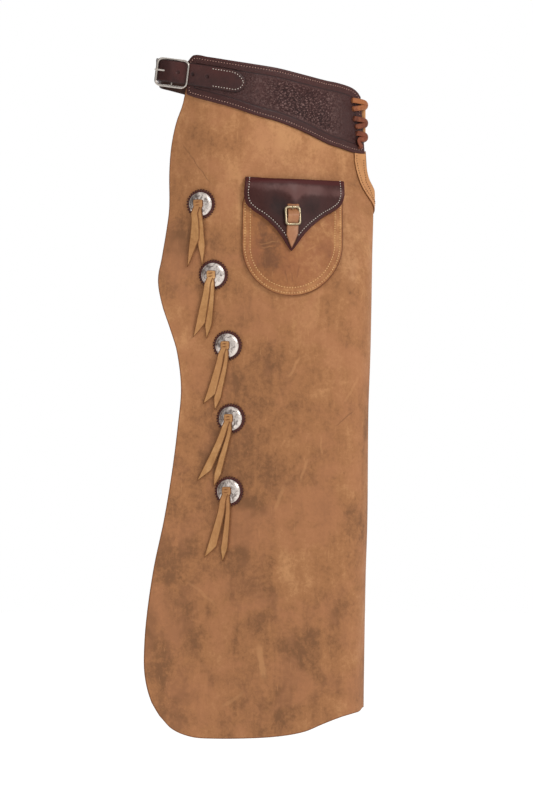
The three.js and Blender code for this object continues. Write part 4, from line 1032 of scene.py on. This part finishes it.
def makePouch(name, side):
    u, row = np.meshgrid(spaced(pocket["columns"], 2 * pocket["half"]), 2 * spaced(pocket["rows"], 170))
    x, z = pouchPlace(u, row)
    edge = np.linspace(0, 2, 500)
    sides = [np.stack(pouchPlace(0 * edge + end, edge), -1) for end in (0, 1)]
    rim = closest(np.stack([x, z], -1), np.concatenate(sides))
    down, ahead = -z, x - pocket["x"]
    wrinkle = sum(0.7 * hump(down, at + 0.06 * ahead, 1.7) * hump(ahead, -34, 18) for at in pocket["wrinklesDown"])
    crease = sum(0.3 * hump(ahead, at, 1.5) * hump(down, 258, 16) for at in pocket["creasesAhead"])
    drawn = -0.35 * sum(hump(rim, inset, 1.0) for inset in pocket["stitchInsets"])
    lift = pocket["seat"] + pocketLift(x, z)
    # Darker in a patch low on the rear side of the pouch, lighter along its edges
    stain = 0.6 * hump(ahead, -38, 30) * hump(down, 222, 34) - 0.06 - 0.16 * ease(rim, 15.5, 11.5)
    outside = onLeg(x, z, lift + pocket["thick"] + wrinkle - crease + drawn)
    pouch = wall(name + "PocketPouch", outside, onLeg(x, z, lift), pocketWall,
                 {"rim": rim, "stain": stain}, side)
    dress(pouch, "tan_leather", name + "_pocket_pouch")
    rows = []
    for inset in pocket["stitchInsets"]:
        row = np.concatenate([np.linspace(0.12, 2, 200), np.linspace(2, 0.12, 200)[1:]])
        x, z = pouchPlace(np.repeat([0.0, 1.0], [200, 199]), row, inset)
        surface = onLeg(x, z, pocket["seat"] + pocket["thick"] + pocketLift(x, z) - 0.25)
        rows.append((surface, legNormal(turnAt(x, z), z), pocket["pitch"]))
    dress(stitches(name + "PocketStitches", rows, tanThread, side, length=1.7, width=1.45), "tan_leather")


def flapPlace(u, v):  # half the width at each height to both sides of a line that leans to the tip
    x = pocket["x"] + mix(flap["topAhead"], flap["tipBack"], v) + (2 * u - 1) * flap["half"] * flapHalfAt(v)
    return x, -flap["top"] - flap["drop"] * v - flap["lean"] * (x - pocket["x"]) * (1 - v)


def flapShape(x, z):
    # Height of the flap's inner face: it rolls over from the top edge, and the strap pulls a dent down each side of
    # a ridge that runs from the top to the slot.
    down, ahead = -z - flap["top"], x - pocket["x"]
    roll = np.sqrt(1 - (1 - np.clip((down + 1.2) / flap["roll"], 0, 1)) ** 2)
    dent = sum(hump(ahead, at, 14) * hump(down, 36, 17) for at in (-19, 21))
    ridge = hump(ahead, 0, mix(18, 5, np.clip(down / 34, 0, 1))) * hump(down, 16, 16)
    full = 1.6 * ease(down, 0, 16) * ease(np.abs(ahead), 6, 46)
    return mix(1.0, flap["base"], roll) + pocketLift(x, z) * ease(down, 0, 12) + 2.6 * ridge - 1.9 * dent + full + 0.6


def makeFlap(name, side):
    u, v = np.meshgrid(spaced(flap["columns"], 140), spaced(flap["rows"], flap["drop"]))
    x, z = flapPlace(u, v)
    edge = np.linspace(0, 1, 400)
    sides = [np.stack(flapPlace(0 * edge + end, edge), -1) for end in (0, 1)]
    rim = closest(np.stack([x, z], -1), np.concatenate(sides))
    level = flapShape(x, z)
    drawn = -0.3 * hump(rim, flap["stitchInset"], 1.1)
    down, ahead = -z - flap["top"] + flap["lean"] * (pocket["x"] - x), x - pocket["x"]
    rolled = 0.5 * np.maximum(down - 4.5, 0)
    # Painted highlight in a band under the rolled top and down the ridge; painted shade in the two dents by the slot
    stain = -0.75 * hump(down, 15 + 0.06 * ahead, 7.5) * (0.55 + 0.45 * hump(ahead, 22, 34))
    stain = stain - 0.8 * hump(ahead, 2, 7) * hump(down, 22, 11)
    stain = stain + 0.5 * hump(down, 42, 16) * (hump(ahead, -20, 16) + hump(ahead, 24, 16))
    leather = wall(name + "PocketFlap", onLeg(x, z, level + flap["thick"] + drawn), onLeg(x, z, level),
                   flapWall, {"rim": np.minimum(rim, rolled), "stain": stain}, side)
    dress(leather, "dark_smooth_leather", name + "_pocket_flap")
    line = insetLine(np.concatenate([sides[0], sides[1][::-1]]), flap["stitchInset"])
    rows = []
    for half in (-1, 1):
        row = line[(line[:, 0] - pocket["x"]) * half > smallStrap["wide"] / 2 - 1]
        row = row[(-row[:, 1] - flap["top"] < 95) & (closest(row, np.concatenate(sides)) < 1.03 * flap["stitchInset"])]
        row = row[np.argsort(row[:, 1])]
        wide = row[-1] + [0, 2.5]
        row = np.concatenate([row, [wide]])
        surface = onLeg(row[:, 0], row[:, 1], flapShape(row[:, 0], row[:, 1]) + flap["thick"] - 0.2)
        rows.append((surface, legNormal(turnAt(row[:, 0], row[:, 1]), row[:, 1]), flap["pitch"]))
    dress(stitches(name + "FlapStitches", rows, whiteThread, side, length=1.7, width=1.35), "dark_smooth_leather")


def smallStrapLevel(z):
    x = pocket["x"] + 0 * z
    return flapShape(x, z) + flap["thick"] + smallStrap["clear"]


def makeSmallStrap(name, side):
    v, u = spaced(110, 65, (0.5, 1.2)), spaced(12, smallStrap["wide"], (0.4, 1.0))
    z = -mix(smallStrap["top"], smallStrap["tip"], v)[:, None]
    taper = np.minimum(1, (1.012 - v) / 0.3)[:, None] ** 0.85
    middle = pocket["x"] - smallStrap["back"]
    x = middle + (2 * u - 1) * smallStrap["wide"] / 2 * taper
    z = np.broadcast_to(z, x.shape)
    away = (z + smallBuckle["down"]) / (smallBuckle["tall"] / 2 - 1.6 * smallBuckle["wire"])
    bulge = np.where(np.abs(away) < 1, np.cos(away * quarterTurn) ** 1.4, 0) * 5.1
    rise = smallStrapLevel(z) + bulge - 3.5 * (1 - ease(-z, smallStrap["top"], smallStrap["top"] + 5))
    half = smallStrap["wide"] / 2 * taper
    rim = np.minimum(half - np.abs(x - middle), 1.5 * (z + smallStrap["tip"]))
    crown = 0.3 * (1 - (2 * u - 1) ** 4)
    leather = wall(name + "PocketStrap", onLeg(x, z, rise + smallStrap["thick"] + crown), onLeg(x, z, rise),
                   strapWall, {"rim": rim, "stain": 0 * x}, side)
    dress(leather, "pale_leather", name + "_pocket_strap")


def roundedFrame(halfWide, halfTall, corner, count=40):  # a rounded rectangle as a closed line
    angle = np.linspace(0, quarterTurn, 12)
    parts = []
    for a, b, turn in ((1, 1, 0), (-1, 1, 1), (-1, -1, 2), (1, -1, 3)):
        way = angle + turn * quarterTurn
        middle = [a * (halfWide - corner), b * (halfTall - corner)]
        parts.append(middle + corner * np.stack([np.cos(way), np.sin(way)], -1))
    line = np.concatenate([*parts, parts[0][:1]])
    return evenly(line, (4 * (halfWide + halfTall)) / (2 * count))


def makeSmallBuckle(name, side):
    b = smallBuckle
    z = np.array([-float(b["down"])])
    x = np.array([float(pocket["x"] - b["back"])])
    level = smallStrapLevel(z) + smallStrap["thick"] + 0.9 + b["wire"] / 2
    centre, normal = onLeg(x, z, level)[0], legNormal(turnAt(x, z), z)[0]
    across = unit(np.cross([0, 0, 1], normal))
    up = np.cross(normal, across)
    line = roundedFrame(b["wide"] / 2 - b["band"] / 2, b["tall"] / 2 - b["band"] / 2, b["corner"])
    ring = centre + line[:, :1] * across + line[:, 1:] * up
    made = tube(name + "PocketBuckle", ring, normal, b["band"], b["wire"], [brassMetal], 12, True, side=side)
    dress(made, "antique_brass", name + "_pocket_buckle")
    height = np.array([b["tall"] / 2 - 0.8, b["tall"] / 2 - 2.5, b["tall"] / 2 - 5])[:, None]
    prong = centre + height * up + np.array([1.0, 1.9, 0.7])[:, None] * normal
    dress(tube(name + "PocketProng", prong, normal, 1.7, 1.7, [brassMetal], 10, side=side), "antique_brass")


print("leg, yoke and pocket shapes are set")


# Conchos, rosettes and ties
concho = dict(radius=17.4, rim=1.2, high=5, rosette=22.3, rosetteThick=1.8, rosetteSeat=1.0, clear=0.3, scallops=32,
              scallop=2.7, rings=34, spokes=120, rosetteRings=10)
conchoSeat = concho["rosetteSeat"] + concho["rosetteThick"] + concho["clear"]
tie = dict(length=93, thick=2.0, blockWide=12.2, blockTall=11.5, shift=1.8, left=13.6, right=10.4, rows=44, columns=9)
tieSeat = conchoSeat + concho["high"] + 0.45
ties = [
    dict(place=0.163, leftBack=0.214, leftDown=0.984, rightBack=-0.02, rightDown=0.965, peak=0.53),
    dict(place=0.2737, leftBack=0.322, leftDown=0.977, rightBack=0.109, rightDown=1.0, peak=0.76),
    dict(place=0.3848, leftBack=0.386, leftDown=0.919, rightBack=0.198, rightDown=1.012, peak=0.82),
    dict(place=0.4996, leftBack=0.534, leftDown=0.975, rightBack=0.269, rightDown=1.069, peak=0.82),
    dict(place=0.614, leftBack=0.388, leftDown=1.039, rightBack=0.1, rightDown=1.1, peak=0.82),
]
liftAt = through((0, 1), (0.5, 1), (0.8, 0.9), (1.05, 0.7), (1.3, 0.47), (2.1, 0.17), (4, 0.12))


def seatOn(x, z, offset):  # a point on the leg with its three directions: across, up and outwards
    x, z = np.array([float(x)]), np.array([float(z)])
    normal = legNormal(turnAt(x, z), z)[0]
    across = unit(np.cross([0, 0, 1], normal))
    return onLeg(x, z, offset)[0], across, np.cross(normal, across), normal


def disc(name, radiusAt, topAt, seat, materials, side, marksAt, rings, spokes):
    # A turned plate: rings from the middle to the rim, then a flat back, as one closed mesh.
    # radiusAt(angle) is its outline and topAt(share, angle) its height.
    centre, across, up, normal = seat
    angle = np.arange(spokes) / spokes * 2 * math.pi
    share = (np.linspace(0, 1, rings)[1:] ** 0.85)[:, None]
    outline = radiusAt(angle)[None]
    radius = share * outline
    high = topAt(share, angle) * np.ones_like(radius)
    radius = np.concatenate([radius, outline, outline, 0.3 * outline])
    high = np.concatenate([high, high[-1:] * 0.35, np.zeros((2, spokes))])
    flatX, flatY = radius * np.cos(angle), radius * np.sin(angle)
    points = centre + flatX[..., None] * across + flatY[..., None] * up + high[..., None] * normal
    count = len(points)
    hubs = np.array([centre + normal * float(np.mean(topAt(np.array([[0.0]]), angle))), centre])
    faces = gridFaces(count, spokes, closed=True)
    k = np.arange(spokes)
    after = (k + 1) % spokes
    first, last = count * spokes, count * spokes + 1
    base = (count - 1) * spokes
    faces = np.concatenate([faces, fan(after, k, first), fan(base + k, base + after, last)])
    marks = {}
    for key, values in marksAt(share, angle).items():
        values = values * np.ones((len(share), spokes))
        marks[key] = np.concatenate([values.ravel(), np.repeat(values[-1:], 3, 0).ravel(), [values.mean()] * 2])
    return finishMesh(name, np.concatenate([points.reshape(-1, 3), hubs]), faces, materials, marks=marks, side=side)


def scallopRadius(angle):  # a circle less the gaps between half waves
    return concho["rosette"] - concho["scallop"] * (1 - np.abs(np.cos(angle * concho["scallops"] / 2)))


def rosetteTop(share, angle):
    # A plate with a tooled ring and a cut between each two scallops.
    edge = ease(share, 0.86, 0.92)
    cut = edge * (1 - np.abs(np.cos(angle * concho["scallops"] / 2))) ** 2
    return concho["rosetteThick"] - 0.7 * cut - 0.5 * ease(share, 0.95, 1.0) - 0.25 * hump(share, 0.885, 0.012)


def engraving(share, angle):
    # Cuts in the silver, 0 to 1: a rope edge, a ring, leaf scrolls round the dome and a star in the middle.
    rope = 0.5 * hump(share, 0.93, 0.045) * (0.5 + 0.5 * np.cos(48 * angle + 14 * share)) ** 3
    ring = 0.5 * hump(share, 0.85, 0.012) + hump(share, 0.985, 0.01)
    wave = np.sin(8 * angle + 2.2 * np.sin(4 * angle) + 9 * share)
    leaf = hump(share, 0.66, 0.13) * (1 - np.abs(wave)) ** 3
    vein = hump(share, 0.66, 0.14) * (0.5 + 0.5 * np.cos(72 * angle - 60 * share)) ** 6 * 0.7
    star = hump(share, 0.36, 0.12) * (1 - np.abs(np.sin(5 * angle + 4 * share))) ** 4
    return 0.42 * np.clip(rope + ring + leaf + vein + star, 0, 1)


def paintedDomeShade(share, angle):  # painted shade on the dome: its rear and upper part and a patch below the front are darkened, the same on every concho
    rear = hump(np.abs(angle - 2.75), 0, 0.95) * ease(share, 0.05, 0.4)
    streak = hump(angle, 1.95, 0.28) * ease(share, 0.25, 0.5)
    low = hump(angle, 5.6, 0.45) * hump(share, 0.62, 0.2)
    return 0.4 * rear + 0.3 * streak + 0.3 * low


def domeTop(share, angle):  # a flattened dome with a raised lip, less the cuts
    dome = concho["rim"] + (concho["high"] - concho["rim"]) * np.sqrt(np.clip(1 - (share / 0.93) ** 2.4, 0, 1))
    lip = 0.35 * ease(share, 0.9, 0.96)
    return dome + lip - 0.28 * engraving(share, angle)


def makeConcho(name, side, number, x, z):
    node = "_%d" % number
    c = concho
    turned = np.radians(17.0 * number)
    rosette = disc(name + "Rosette%d" % number, scallopRadius, rosetteTop, seatOn(x, z, c["rosetteSeat"]),
                   [rosetteHide], side, lambda share, angle: {"rim": (1 - share) * c["rosette"], "stain": 0 * share},
                   c["rosetteRings"], c["scallops"] * 6)
    dress(rosette, "dark_smooth_leather", name + "_rosette" + node)
    # The silver's "cut" mark is its engraving plus painted shade over the rear, the top and a patch below the front
    silver = disc(name + "Concho%d" % number, lambda angle: c["radius"] + 0 * angle,
                  lambda share, angle: domeTop(share, angle + turned), seatOn(x, z, conchoSeat), [silverMetal], side,
                  lambda share, angle: {"cut": engraving(share, angle + turned) + paintedDomeShade(share, angle)},
                  c["rings"], c["spokes"])
    dress(silver, "silver", name + "_concho" + node)


def tailWall(x, z, start, width, back, down, twist, over, shape):
    # A tail slides down the dome, is widest at its peak and runs out to a point; bias 1 keeps its rear edge straight.
    step, u = np.linspace(0, 1, tie["rows"])[:, None] ** 1.1, np.linspace(0, 1, tie["columns"])
    low, peak, bias = shape
    wide = np.minimum(mix(low, 1, step / peak), 0.04 + 0.96 * ((1 - step) / (1 - peak)) ** 0.9) * width
    sway = 1.6 * np.sin(step * math.pi * 1.3 + twist) * step * (1 - step)
    guide = np.interp(step, [0, 0.12, 1], [x + 0.6 * start, x + start, x - back * tie["length"]]) + sway
    px = guide + wide * (u - 0.5 + 0.5 * bias)
    pz = z - mix(tie["blockTall"] * 0.3, down * tie["length"], step) + 0 * u
    lift = np.maximum(tieSeat * liftAt((z - pz) / concho["radius"]), 1.0)
    curl = 1.2 * np.sin(step * 4 + twist) * (2 * u - 1) * ease(step, 0.25, 0.6)
    rim = wide * np.minimum(u, 1 - u)
    return px, pz, lift + over + np.abs(curl) * 0.6 + curl * 0.35, rim


def makeTie(name, side, number, row, x, z):
    t = tie
    v, u = np.meshgrid(np.linspace(0, 1, 26), np.linspace(0, 1, 26), indexing="ij")
    rounded = 1 - 0.1 * (2 * v - 1) ** 4
    px = x - t["shift"] + (u - 0.5) * t["blockWide"] * rounded
    pz = z + 0.5 + (0.5 - v) * t["blockTall"] * (1 - 0.08 * (2 * u - 1) ** 4)
    crown = 1.1 * (1 - (2 * u - 1) ** 4) * (1 - (2 * v - 1) ** 4)
    # The slits are dented, take the edge colour and are darkened further: cut edges with painted shade in them
    slits = sum(hump(u, 0.44, 0.2) * hump(v, at - 0.1 * (u - 0.5), 0.05) for at in (0.3, 0.68))
    level = tieSeat + 0.2
    block = wall(name + "TieKnot%d" % number, onLeg(px, pz, level + t["thick"] + crown - 1.4 * slits),
                 onLeg(px, pz, level + 0 * u), tieWall,
                 {"rim": 8 - 9 * slits, "stain": 2.5 * slits}, side)
    dress(block, "tie_leather", name + "_tie_%d" % number)
    tails = (("Left", -12.0, t["left"], row["leftBack"], row["leftDown"], number * 1.3, 1.2, (0.62, row["peak"], 1)),
             ("Right", 0.2, t["right"], row["rightBack"], row["rightDown"], number * 2.1 + 1, 0.0,
              (0.5, 0.5 * row["peak"] + 0.4, 0)))
    for part, start, width, back, down, twist, over, shape in tails:
        px, pz, lift, rim = tailWall(x, z, start, width, back, down, twist, over, shape)
        tail = wall(name + "Tie%sTail%d" % (part, number), onLeg(px, pz, lift + t["thick"] * 0.8), onLeg(px, pz, lift),
                    tieWall, {"rim": rim, "stain": 0 * px}, side)
        dress(tail, "tie_leather")


# Belt: the long strap runs from its tip over the near yoke, through the buckle and round the back
belt = dict(wide=32, thick=2.5, reach=111, tip=20, high=41, slope=0.14, barDrop=1.5, chapeThick=1.5, chapeWide=27,
            clear=0.3, stitchInset=3.4, pitch=4.1, columns=28)
buckle = dict(long=54, tall=43, wire=3.0, shown=3.1, corner=8, prong=2.6)
frameLevel = 2 * belt["clear"] + belt["thick"] + buckle["wire"] / 2
barLevel = frameLevel - belt["barDrop"]
chapeInner = buckle["wire"] / 2 + belt["clear"]
billetTip = loop["buckle"] - belt["reach"]
yokeRearRun = float(loopAt(-yoke["back"], 0, "run"))
billetEnd = 2 * loop["half"] - yokeRearRun - 2 * belt["clear"]
beltHeightAt = through((0, 0.6), (0.12, 0.76), (0.37, 1.05), (0.5, 1.17), (0.68, 1.18), (0.85, 1.02), (1, 0.8))


def beltZ(s):  # the belt's middle height along its run
    return belt["high"] * beltHeightAt((s - billetTip) / (billetEnd - billetTip))


def billetOffset(s):  # off the yoke, over the buckle's centre bar as a cosine, then in to the rear of the yoke
    away = np.abs(s - loop["buckle"]) / (buckle["long"] / 2 - 1.2 * buckle["wire"])
    top = barLevel + chapeInner + belt["chapeThick"]
    over = np.where(away < 1, top * np.cos(np.minimum(away, 1) * quarterTurn) ** 1.2, 0)
    depth = belt["clear"] + belt["thick"] / 2 + yoke["thick"] / 2
    return belt["clear"] + over - depth * ease(s, loop["buckle"] + buckle["long"] / 2, billetEnd)


def billetHalf(run):  # half the width: a blunt power curve at the tip
    near = np.minimum(run / belt["tip"], 1)
    return belt["wide"] / 2 * np.maximum(1 - (1 - near) ** 2.1, 0.003) ** 0.62


def makeBillet():
    long = billetEnd - billetTip
    run = np.unique(np.concatenate([np.linspace(0, 1, 16) ** 2 * belt["tip"], np.linspace(belt["tip"], 150, 190),
                                    np.linspace(150, long, 100)]))[:, None]
    u = spaced(belt["columns"], belt["wide"], (0.8, 1.8))
    half = billetHalf(run)
    s = billetTip + run
    z = beltZ(s) + (2 * u - 1) * half
    s = np.broadcast_to(s, z.shape)
    rim = np.minimum(half - np.abs(z - beltZ(s)), run * 1.2)
    holes = billetHoleMask(s, z)
    crown = 0.45 * ease(rim, 0, 2.2) - 0.45 - 0.3 * hump(rim, belt["stitchInset"], 0.8) * (run < 52) - 2.0 * holes
    offset = billetOffset(s)
    # The holes are dents only, given the edge colour and darkened further: painted shade where the open holes would be
    strap = wall("beltBillet", onWaist(s, z, offset + belt["thick"] + crown), onWaist(s, z, offset),
                 beltWall, {"rim": rim - 3 * holes, "stain": 2.5 * holes}, edgeSwell=0.25)
    dress(strap, "dark_smooth_leather", "belt_billet")
    near = np.concatenate([np.linspace(50, belt["tip"], 60)[:-1], belt["tip"] * np.linspace(1, 0, 60) ** 1.5])
    upper = np.stack([near, billetHalf(near)], -1)
    lower = upper[::-1] * [1, -1]
    outline = np.concatenate([upper, lower])
    line = insetLine(outline, belt["stitchInset"])
    line = line[(line[:, 0] < 49) & (line[:, 0] > 2.5)]
    s = billetTip + line[:, 0]
    surface = onWaist(s, beltZ(s) + line[:, 1], billetOffset(s) + belt["thick"] - 0.15)
    rows = [(surface, waistNormal(s), belt["pitch"])]
    dress(stitches("beltStitches", rows, whiteThread, length=1.7, width=1.25), "dark_smooth_leather")


billetHoles = dict(back=(55, 32.5, 10.5), radius=2.8)  # runs ahead of the buckle's centre, towards the tip


def billetHoleMask(s, z):
    mask = 0 * s
    for back in billetHoles["back"]:
        place = loop["buckle"] - back
        away = np.hypot(s - place, z - beltZ(np.array([place]))) / billetHoles["radius"]
        mask = mask + (1 - ease(away, 0.75, 1.05))
    return mask


def onBuckle(a, b, n):  # along the strap, up and outwards from the buckle's centre
    heading = np.interp(loop["buckle"], loop["run"], loop["heading"])
    start = onWaist(np.array(loop["buckle"]), 0.0, 0.0)
    run = np.array([-math.cos(heading), -math.sin(heading), belt["slope"]])
    out = np.array([math.sin(heading), -math.cos(heading), 0])
    a, b, n = np.broadcast_arrays(np.array(a, float), b, n)
    up = np.array([0, 0, 1.0])
    return start + a[..., None] * run + (frameLevel + n)[..., None] * out + (belt["high"] + b)[..., None] * up


def makeBuckle():
    half = (buckle["tall"] - buckle["wire"]) / 2
    line = roundedFrame((buckle["long"] - buckle["wire"]) / 2, half, buckle["corner"], 60)
    heading = waistNormal(np.array([loop["buckle"]]))[0]
    rear = ease(line[:, 0], 18, 24)
    ring = onBuckle(line[:, 0] - belt["slope"] * line[:, 1] + 0.6 * rear, line[:, 1], 0 * rear)
    made = tube("beltBuckle", ring, heading, buckle["shown"], buckle["wire"], [steelMetal], 16, True, 1 + 0.3 * rear)
    dress(made, "steel", "belt_buckle")
    rise = np.linspace(-half, half, 12)
    bar = onBuckle(-belt["slope"] * rise, rise, -belt["barDrop"])
    dress(tube("beltCentreBar", bar, heading, buckle["wire"] * 0.9, buckle["wire"] * 0.9, [steelMetal], 14), "steel")
    rest = buckle["wire"] / 2 + belt["clear"] + buckle["prong"] / 2
    end = buckle["long"] / 2 - 0.2 * buckle["wire"]
    start = rest + 0.2
    t = np.linspace(0, 1, 30)
    level = through((0, -belt["barDrop"]), (0.25, 0.1 * rest), (0.5, 0.75 * rest), (0.8, rest), (1, rest))(t)
    prong = onBuckle(mix(start, end, t), 2.4, level)
    made = tube("beltProng", prong, heading, buckle["prong"] * 1.1, buckle["prong"], [steelMetal], 14)
    dress(made, "steel", "belt_prong")


def smoothLine(points, count):  # a centripetal curve through points, as evenly spaced places
    points = np.array(points, float)
    gaps = np.concatenate([[0], np.cumsum(np.linalg.norm(np.diff(points, axis=0), axis=1) ** 0.5)])
    t = np.linspace(0, gaps[-1], count)
    return np.stack([through(*zip(gaps, column))(t) for column in points.T], -1)


def makeChape():
    start = yokeRearRun + belt["clear"]
    middle = chapeInner + belt["chapeThick"] / 2
    centre = loop["buckle"]
    route = [(start, -yoke["thick"] / 2), (mix(start, centre, 0.35), -yoke["thick"] / 2.2),
             (centre - 1.6 * middle, barLevel - 1.12 * middle), (centre, barLevel - middle),
             (centre + 0.71 * middle, barLevel - 0.71 * middle), (centre + middle, barLevel),
             (centre + 0.71 * middle, barLevel + 0.71 * middle), (centre, barLevel + middle),
             (centre - 0.8 * middle, barLevel + 0.6 * middle)]
    line = smoothLine(route, 70)
    way = unit(np.gradient(line, axis=0))
    u = spaced(12, belt["chapeWide"], (0.6, 1.4))
    faces = []
    for half in (1, -1):
        s = line[:, 0] + half * way[:, 1] * belt["chapeThick"] / 2
        n = line[:, 1] - half * way[:, 0] * belt["chapeThick"] / 2
        z = beltZ(line[:, 0])[:, None] + (u - 0.5) * belt["chapeWide"]
        faces.append(onWaist(np.broadcast_to(s[:, None], z.shape), z, np.broadcast_to(n[:, None], z.shape)))
    rim = np.minimum(u, 1 - u) * belt["chapeWide"] * np.ones((len(line), 1))
    chape = wall("beltChape", faces[0], faces[1], beltWall, {"rim": rim, "stain": 0 * rim})
    dress(chape, "dark_smooth_leather", "belt_chape")


# Front lace: two strands that cross in the middle plane, each the mirror image of the other
lace = dict(wide=7.8, thin=3.8, front=158, clear=0.3)


def makeStrand(mirrored):
    out = lace["thin"] / 2 + lace["clear"]
    inside = -yoke["thick"] - leg["thick"] - lace["thin"]
    dip = yoke["dip"]
    points, normals = [], []

    def at(near, s, z, offset):
        place = onWaist(np.array(float(s)), float(z), float(offset))
        facing = waistNormal(np.array(float(s)))
        flip = np.array([1, -1 if near == mirrored else 1, 1])
        points.append(place * flip)
        normals.append(facing * flip)

    def passThrough(near, hole, outwards):
        levels = [inside, -yoke["thick"] / 2, out]
        for level in levels if outwards else levels[::-1]:
            at(near, hole["back"] * dip - (1 if level == out else 0), hole["high"] * dip, level)

    def cross(near, first, last):
        high, low = first["high"] * dip, last["high"] * dip
        at(near, 0.2 * first["back"] * dip, mix(high, low, 0.2), 1.6 * out)
        points.append(np.array([lace["front"], 0, (high + low) / 2]))
        normals.append(np.array([1.0, 0, 0]))
        at(not near, 0.2 * last["back"] * dip, mix(high, low, 0.8), 1.6 * out)

    h = laceHoles
    passThrough(True, h[0], True)
    cross(True, h[0], h[1])
    passThrough(False, h[1], False)
    passThrough(False, h[2], True)
    cross(False, h[2], h[3])
    passThrough(True, h[3], False)
    passThrough(True, h[4], True)
    cross(True, h[4], h[5])
    at(False, h[5]["back"] * dip, h[5]["high"] * dip, out)
    passThrough(False, h[6], False)
    line = smoothLine(points, 320)
    facing = unit(smoothLine(normals, 320))
    return line, facing


def makeLace():
    for number, mirrored in enumerate((False, True)):
        line, facing = makeStrand(mirrored)
        # The lace is lighter towards the top and darker lower down
        wearAndPaintedLight = 0.75 * ease(-line[:, 2], -4, 22) - 0.55
        strand = tube("frontLace%d" % (number + 1), line, facing, lace["wide"], lace["thin"], [laceHide], 14,
                      marks={"stain": wearAndPaintedLight})
        dress(strand, "lace_leather", *(["front_lace"] if number == 0 else []))
    height = np.linspace(-3, -54, 24)  # a paler run down the middle, behind the crossings
    middle = stack(lace["front"] - lace["thin"] / 2 - 4.2 + 0 * height, 0, height)
    run = tube("frontLaceMiddle", middle, (1.0, 0, 0), 6.0, 8.2, [paleHide], 12, marks={"stain": 0 * height})
    dress(run, "lace_leather")


# The photograph's view of the right side, from 8 metres: the outer wall is at 1.46 mm to the pixel
view = dict(place=(0.0095, -8.0, -0.438), toWall=7.9, sensor=36, pixels=800, scale=1.46)


def makeCamera():
    data = bpy.data.cameras.new("camera")
    data.sensor_width = view["sensor"]
    data.lens = view["sensor"] * view["toWall"] / (view["pixels"] * view["scale"] * metre)
    data.clip_end = 100
    camera = bpy.data.objects.new("camera", data)
    camera.location = view["place"]
    camera.rotation_euler = (quarterTurn, 0, 0)
    bpy.context.scene.collection.objects.link(camera)
    bpy.context.scene.camera = camera


studio = dict(world=0.42, floor=-0.99, floorHalf=6)
lights = [
    dict(name="key", place=(1.7, -2.1, 1.5), aim=(0, 0, -0.45), size=0.9, power=34),
    dict(name="fill", place=(-1.8, -2.0, 0.2), aim=(0, 0, -0.45), size=1.6, power=6),
    dict(name="back", place=(-0.6, 2.6, 1.2), aim=(0, 0, -0.4), size=1.6, power=14),
]


def makeLight(name, place, aim, size, power):
    data = bpy.data.lights.new(name, "AREA")
    data.size = size
    data.energy = power
    light = bpy.data.objects.new(name, data)
    light.location = place
    way = np.array(aim, float) - np.array(place, float)
    light.rotation_euler = (math.acos(-way[2] / np.linalg.norm(way)), 0, math.atan2(way[1], way[0]) - quarterTurn)
    bpy.context.scene.collection.objects.link(light)


def makeStudio():
    scene = bpy.context.scene
    scene.view_settings.view_transform = "Standard"
    for row in lights:
        makeLight(**row)
    world = bpy.data.worlds.new("softWhite")
    world.use_nodes = True
    tree = world.node_tree
    tree.nodes.clear()
    way = put(tree, "ShaderNodeSeparateXYZ", {0: put(tree, "ShaderNodeTexCoord").outputs["Generated"]})
    slope = plus(tree, times(tree, way.outputs["X"], 0.4), times(tree, way.outputs["Z"], 0.6))
    bright = spread(tree, slope, -0.8, 0.8, 0.35, 1.6)
    sheen = put(tree, "ShaderNodeLightPath").outputs["Is Glossy Ray"]
    mirrored = spread(tree, slope, -0.15, 0.17, 0.25, 2.4)
    level = plus(tree, times(tree, mirrored, sheen),
                 times(tree, bright, minus(tree, 1.0, sheen)))
    room = put(tree, "ShaderNodeBackground", {"Strength": times(tree, level, studio["world"])})
    plain = put(tree, "ShaderNodeBackground", {"Color": (1, 1, 1, 1), "Strength": 1.0})
    seen = put(tree, "ShaderNodeLightPath").outputs["Is Camera Ray"]
    shown = put(tree, "ShaderNodeMixShader", {0: seen, 1: room.outputs[0], 2: plain.outputs[0]})
    out = put(tree, "ShaderNodeOutputWorld", {"Surface": shown.outputs[0]})
    out.is_active_output = True
    scene.world = world
    paper, _, _ = newMaterial("palePaper", (0.06, 0.06, 0.06, 1), Roughness=1.0, Emission_Color=(1, 1, 1, 1),
                              Emission_Strength=0.97)
    half = studio["floorHalf"] / metre
    points = [(x * half, y * half, studio["floor"] / metre) for x, y in ((-1, -1), (1, -1), (1, 1), (-1, 1))]
    floor = finishMesh("paleFloor", points, [[0, 1, 2, 3]], [paper])


makeCamera()
makeStudio()
for name, side in (("right", 1), ("left", -1)):
    makeLeg(name, side)
    makeBinding(name, side)
    makeYoke(name, side)
    print(name, "leg and yoke are dressed")
    makePouch(name, side)
    makeFlap(name, side)
    makeSmallStrap(name, side)
    makeSmallBuckle(name, side)
    print(name, "pocket is dressed")
    for index, row in enumerate(ties):
        z = -row["place"] * leg["drop"]
        x = float(tieX(np.array(z)))
        makeConcho(name, side, index + 1, x, z)
        makeTie(name, side, index + 1, row, x, z)
    print(name, "conchos and ties are dressed")
makeBillet()
makeChape()
makeBuckle()
makeLace()
print("belt and lace are dressed")
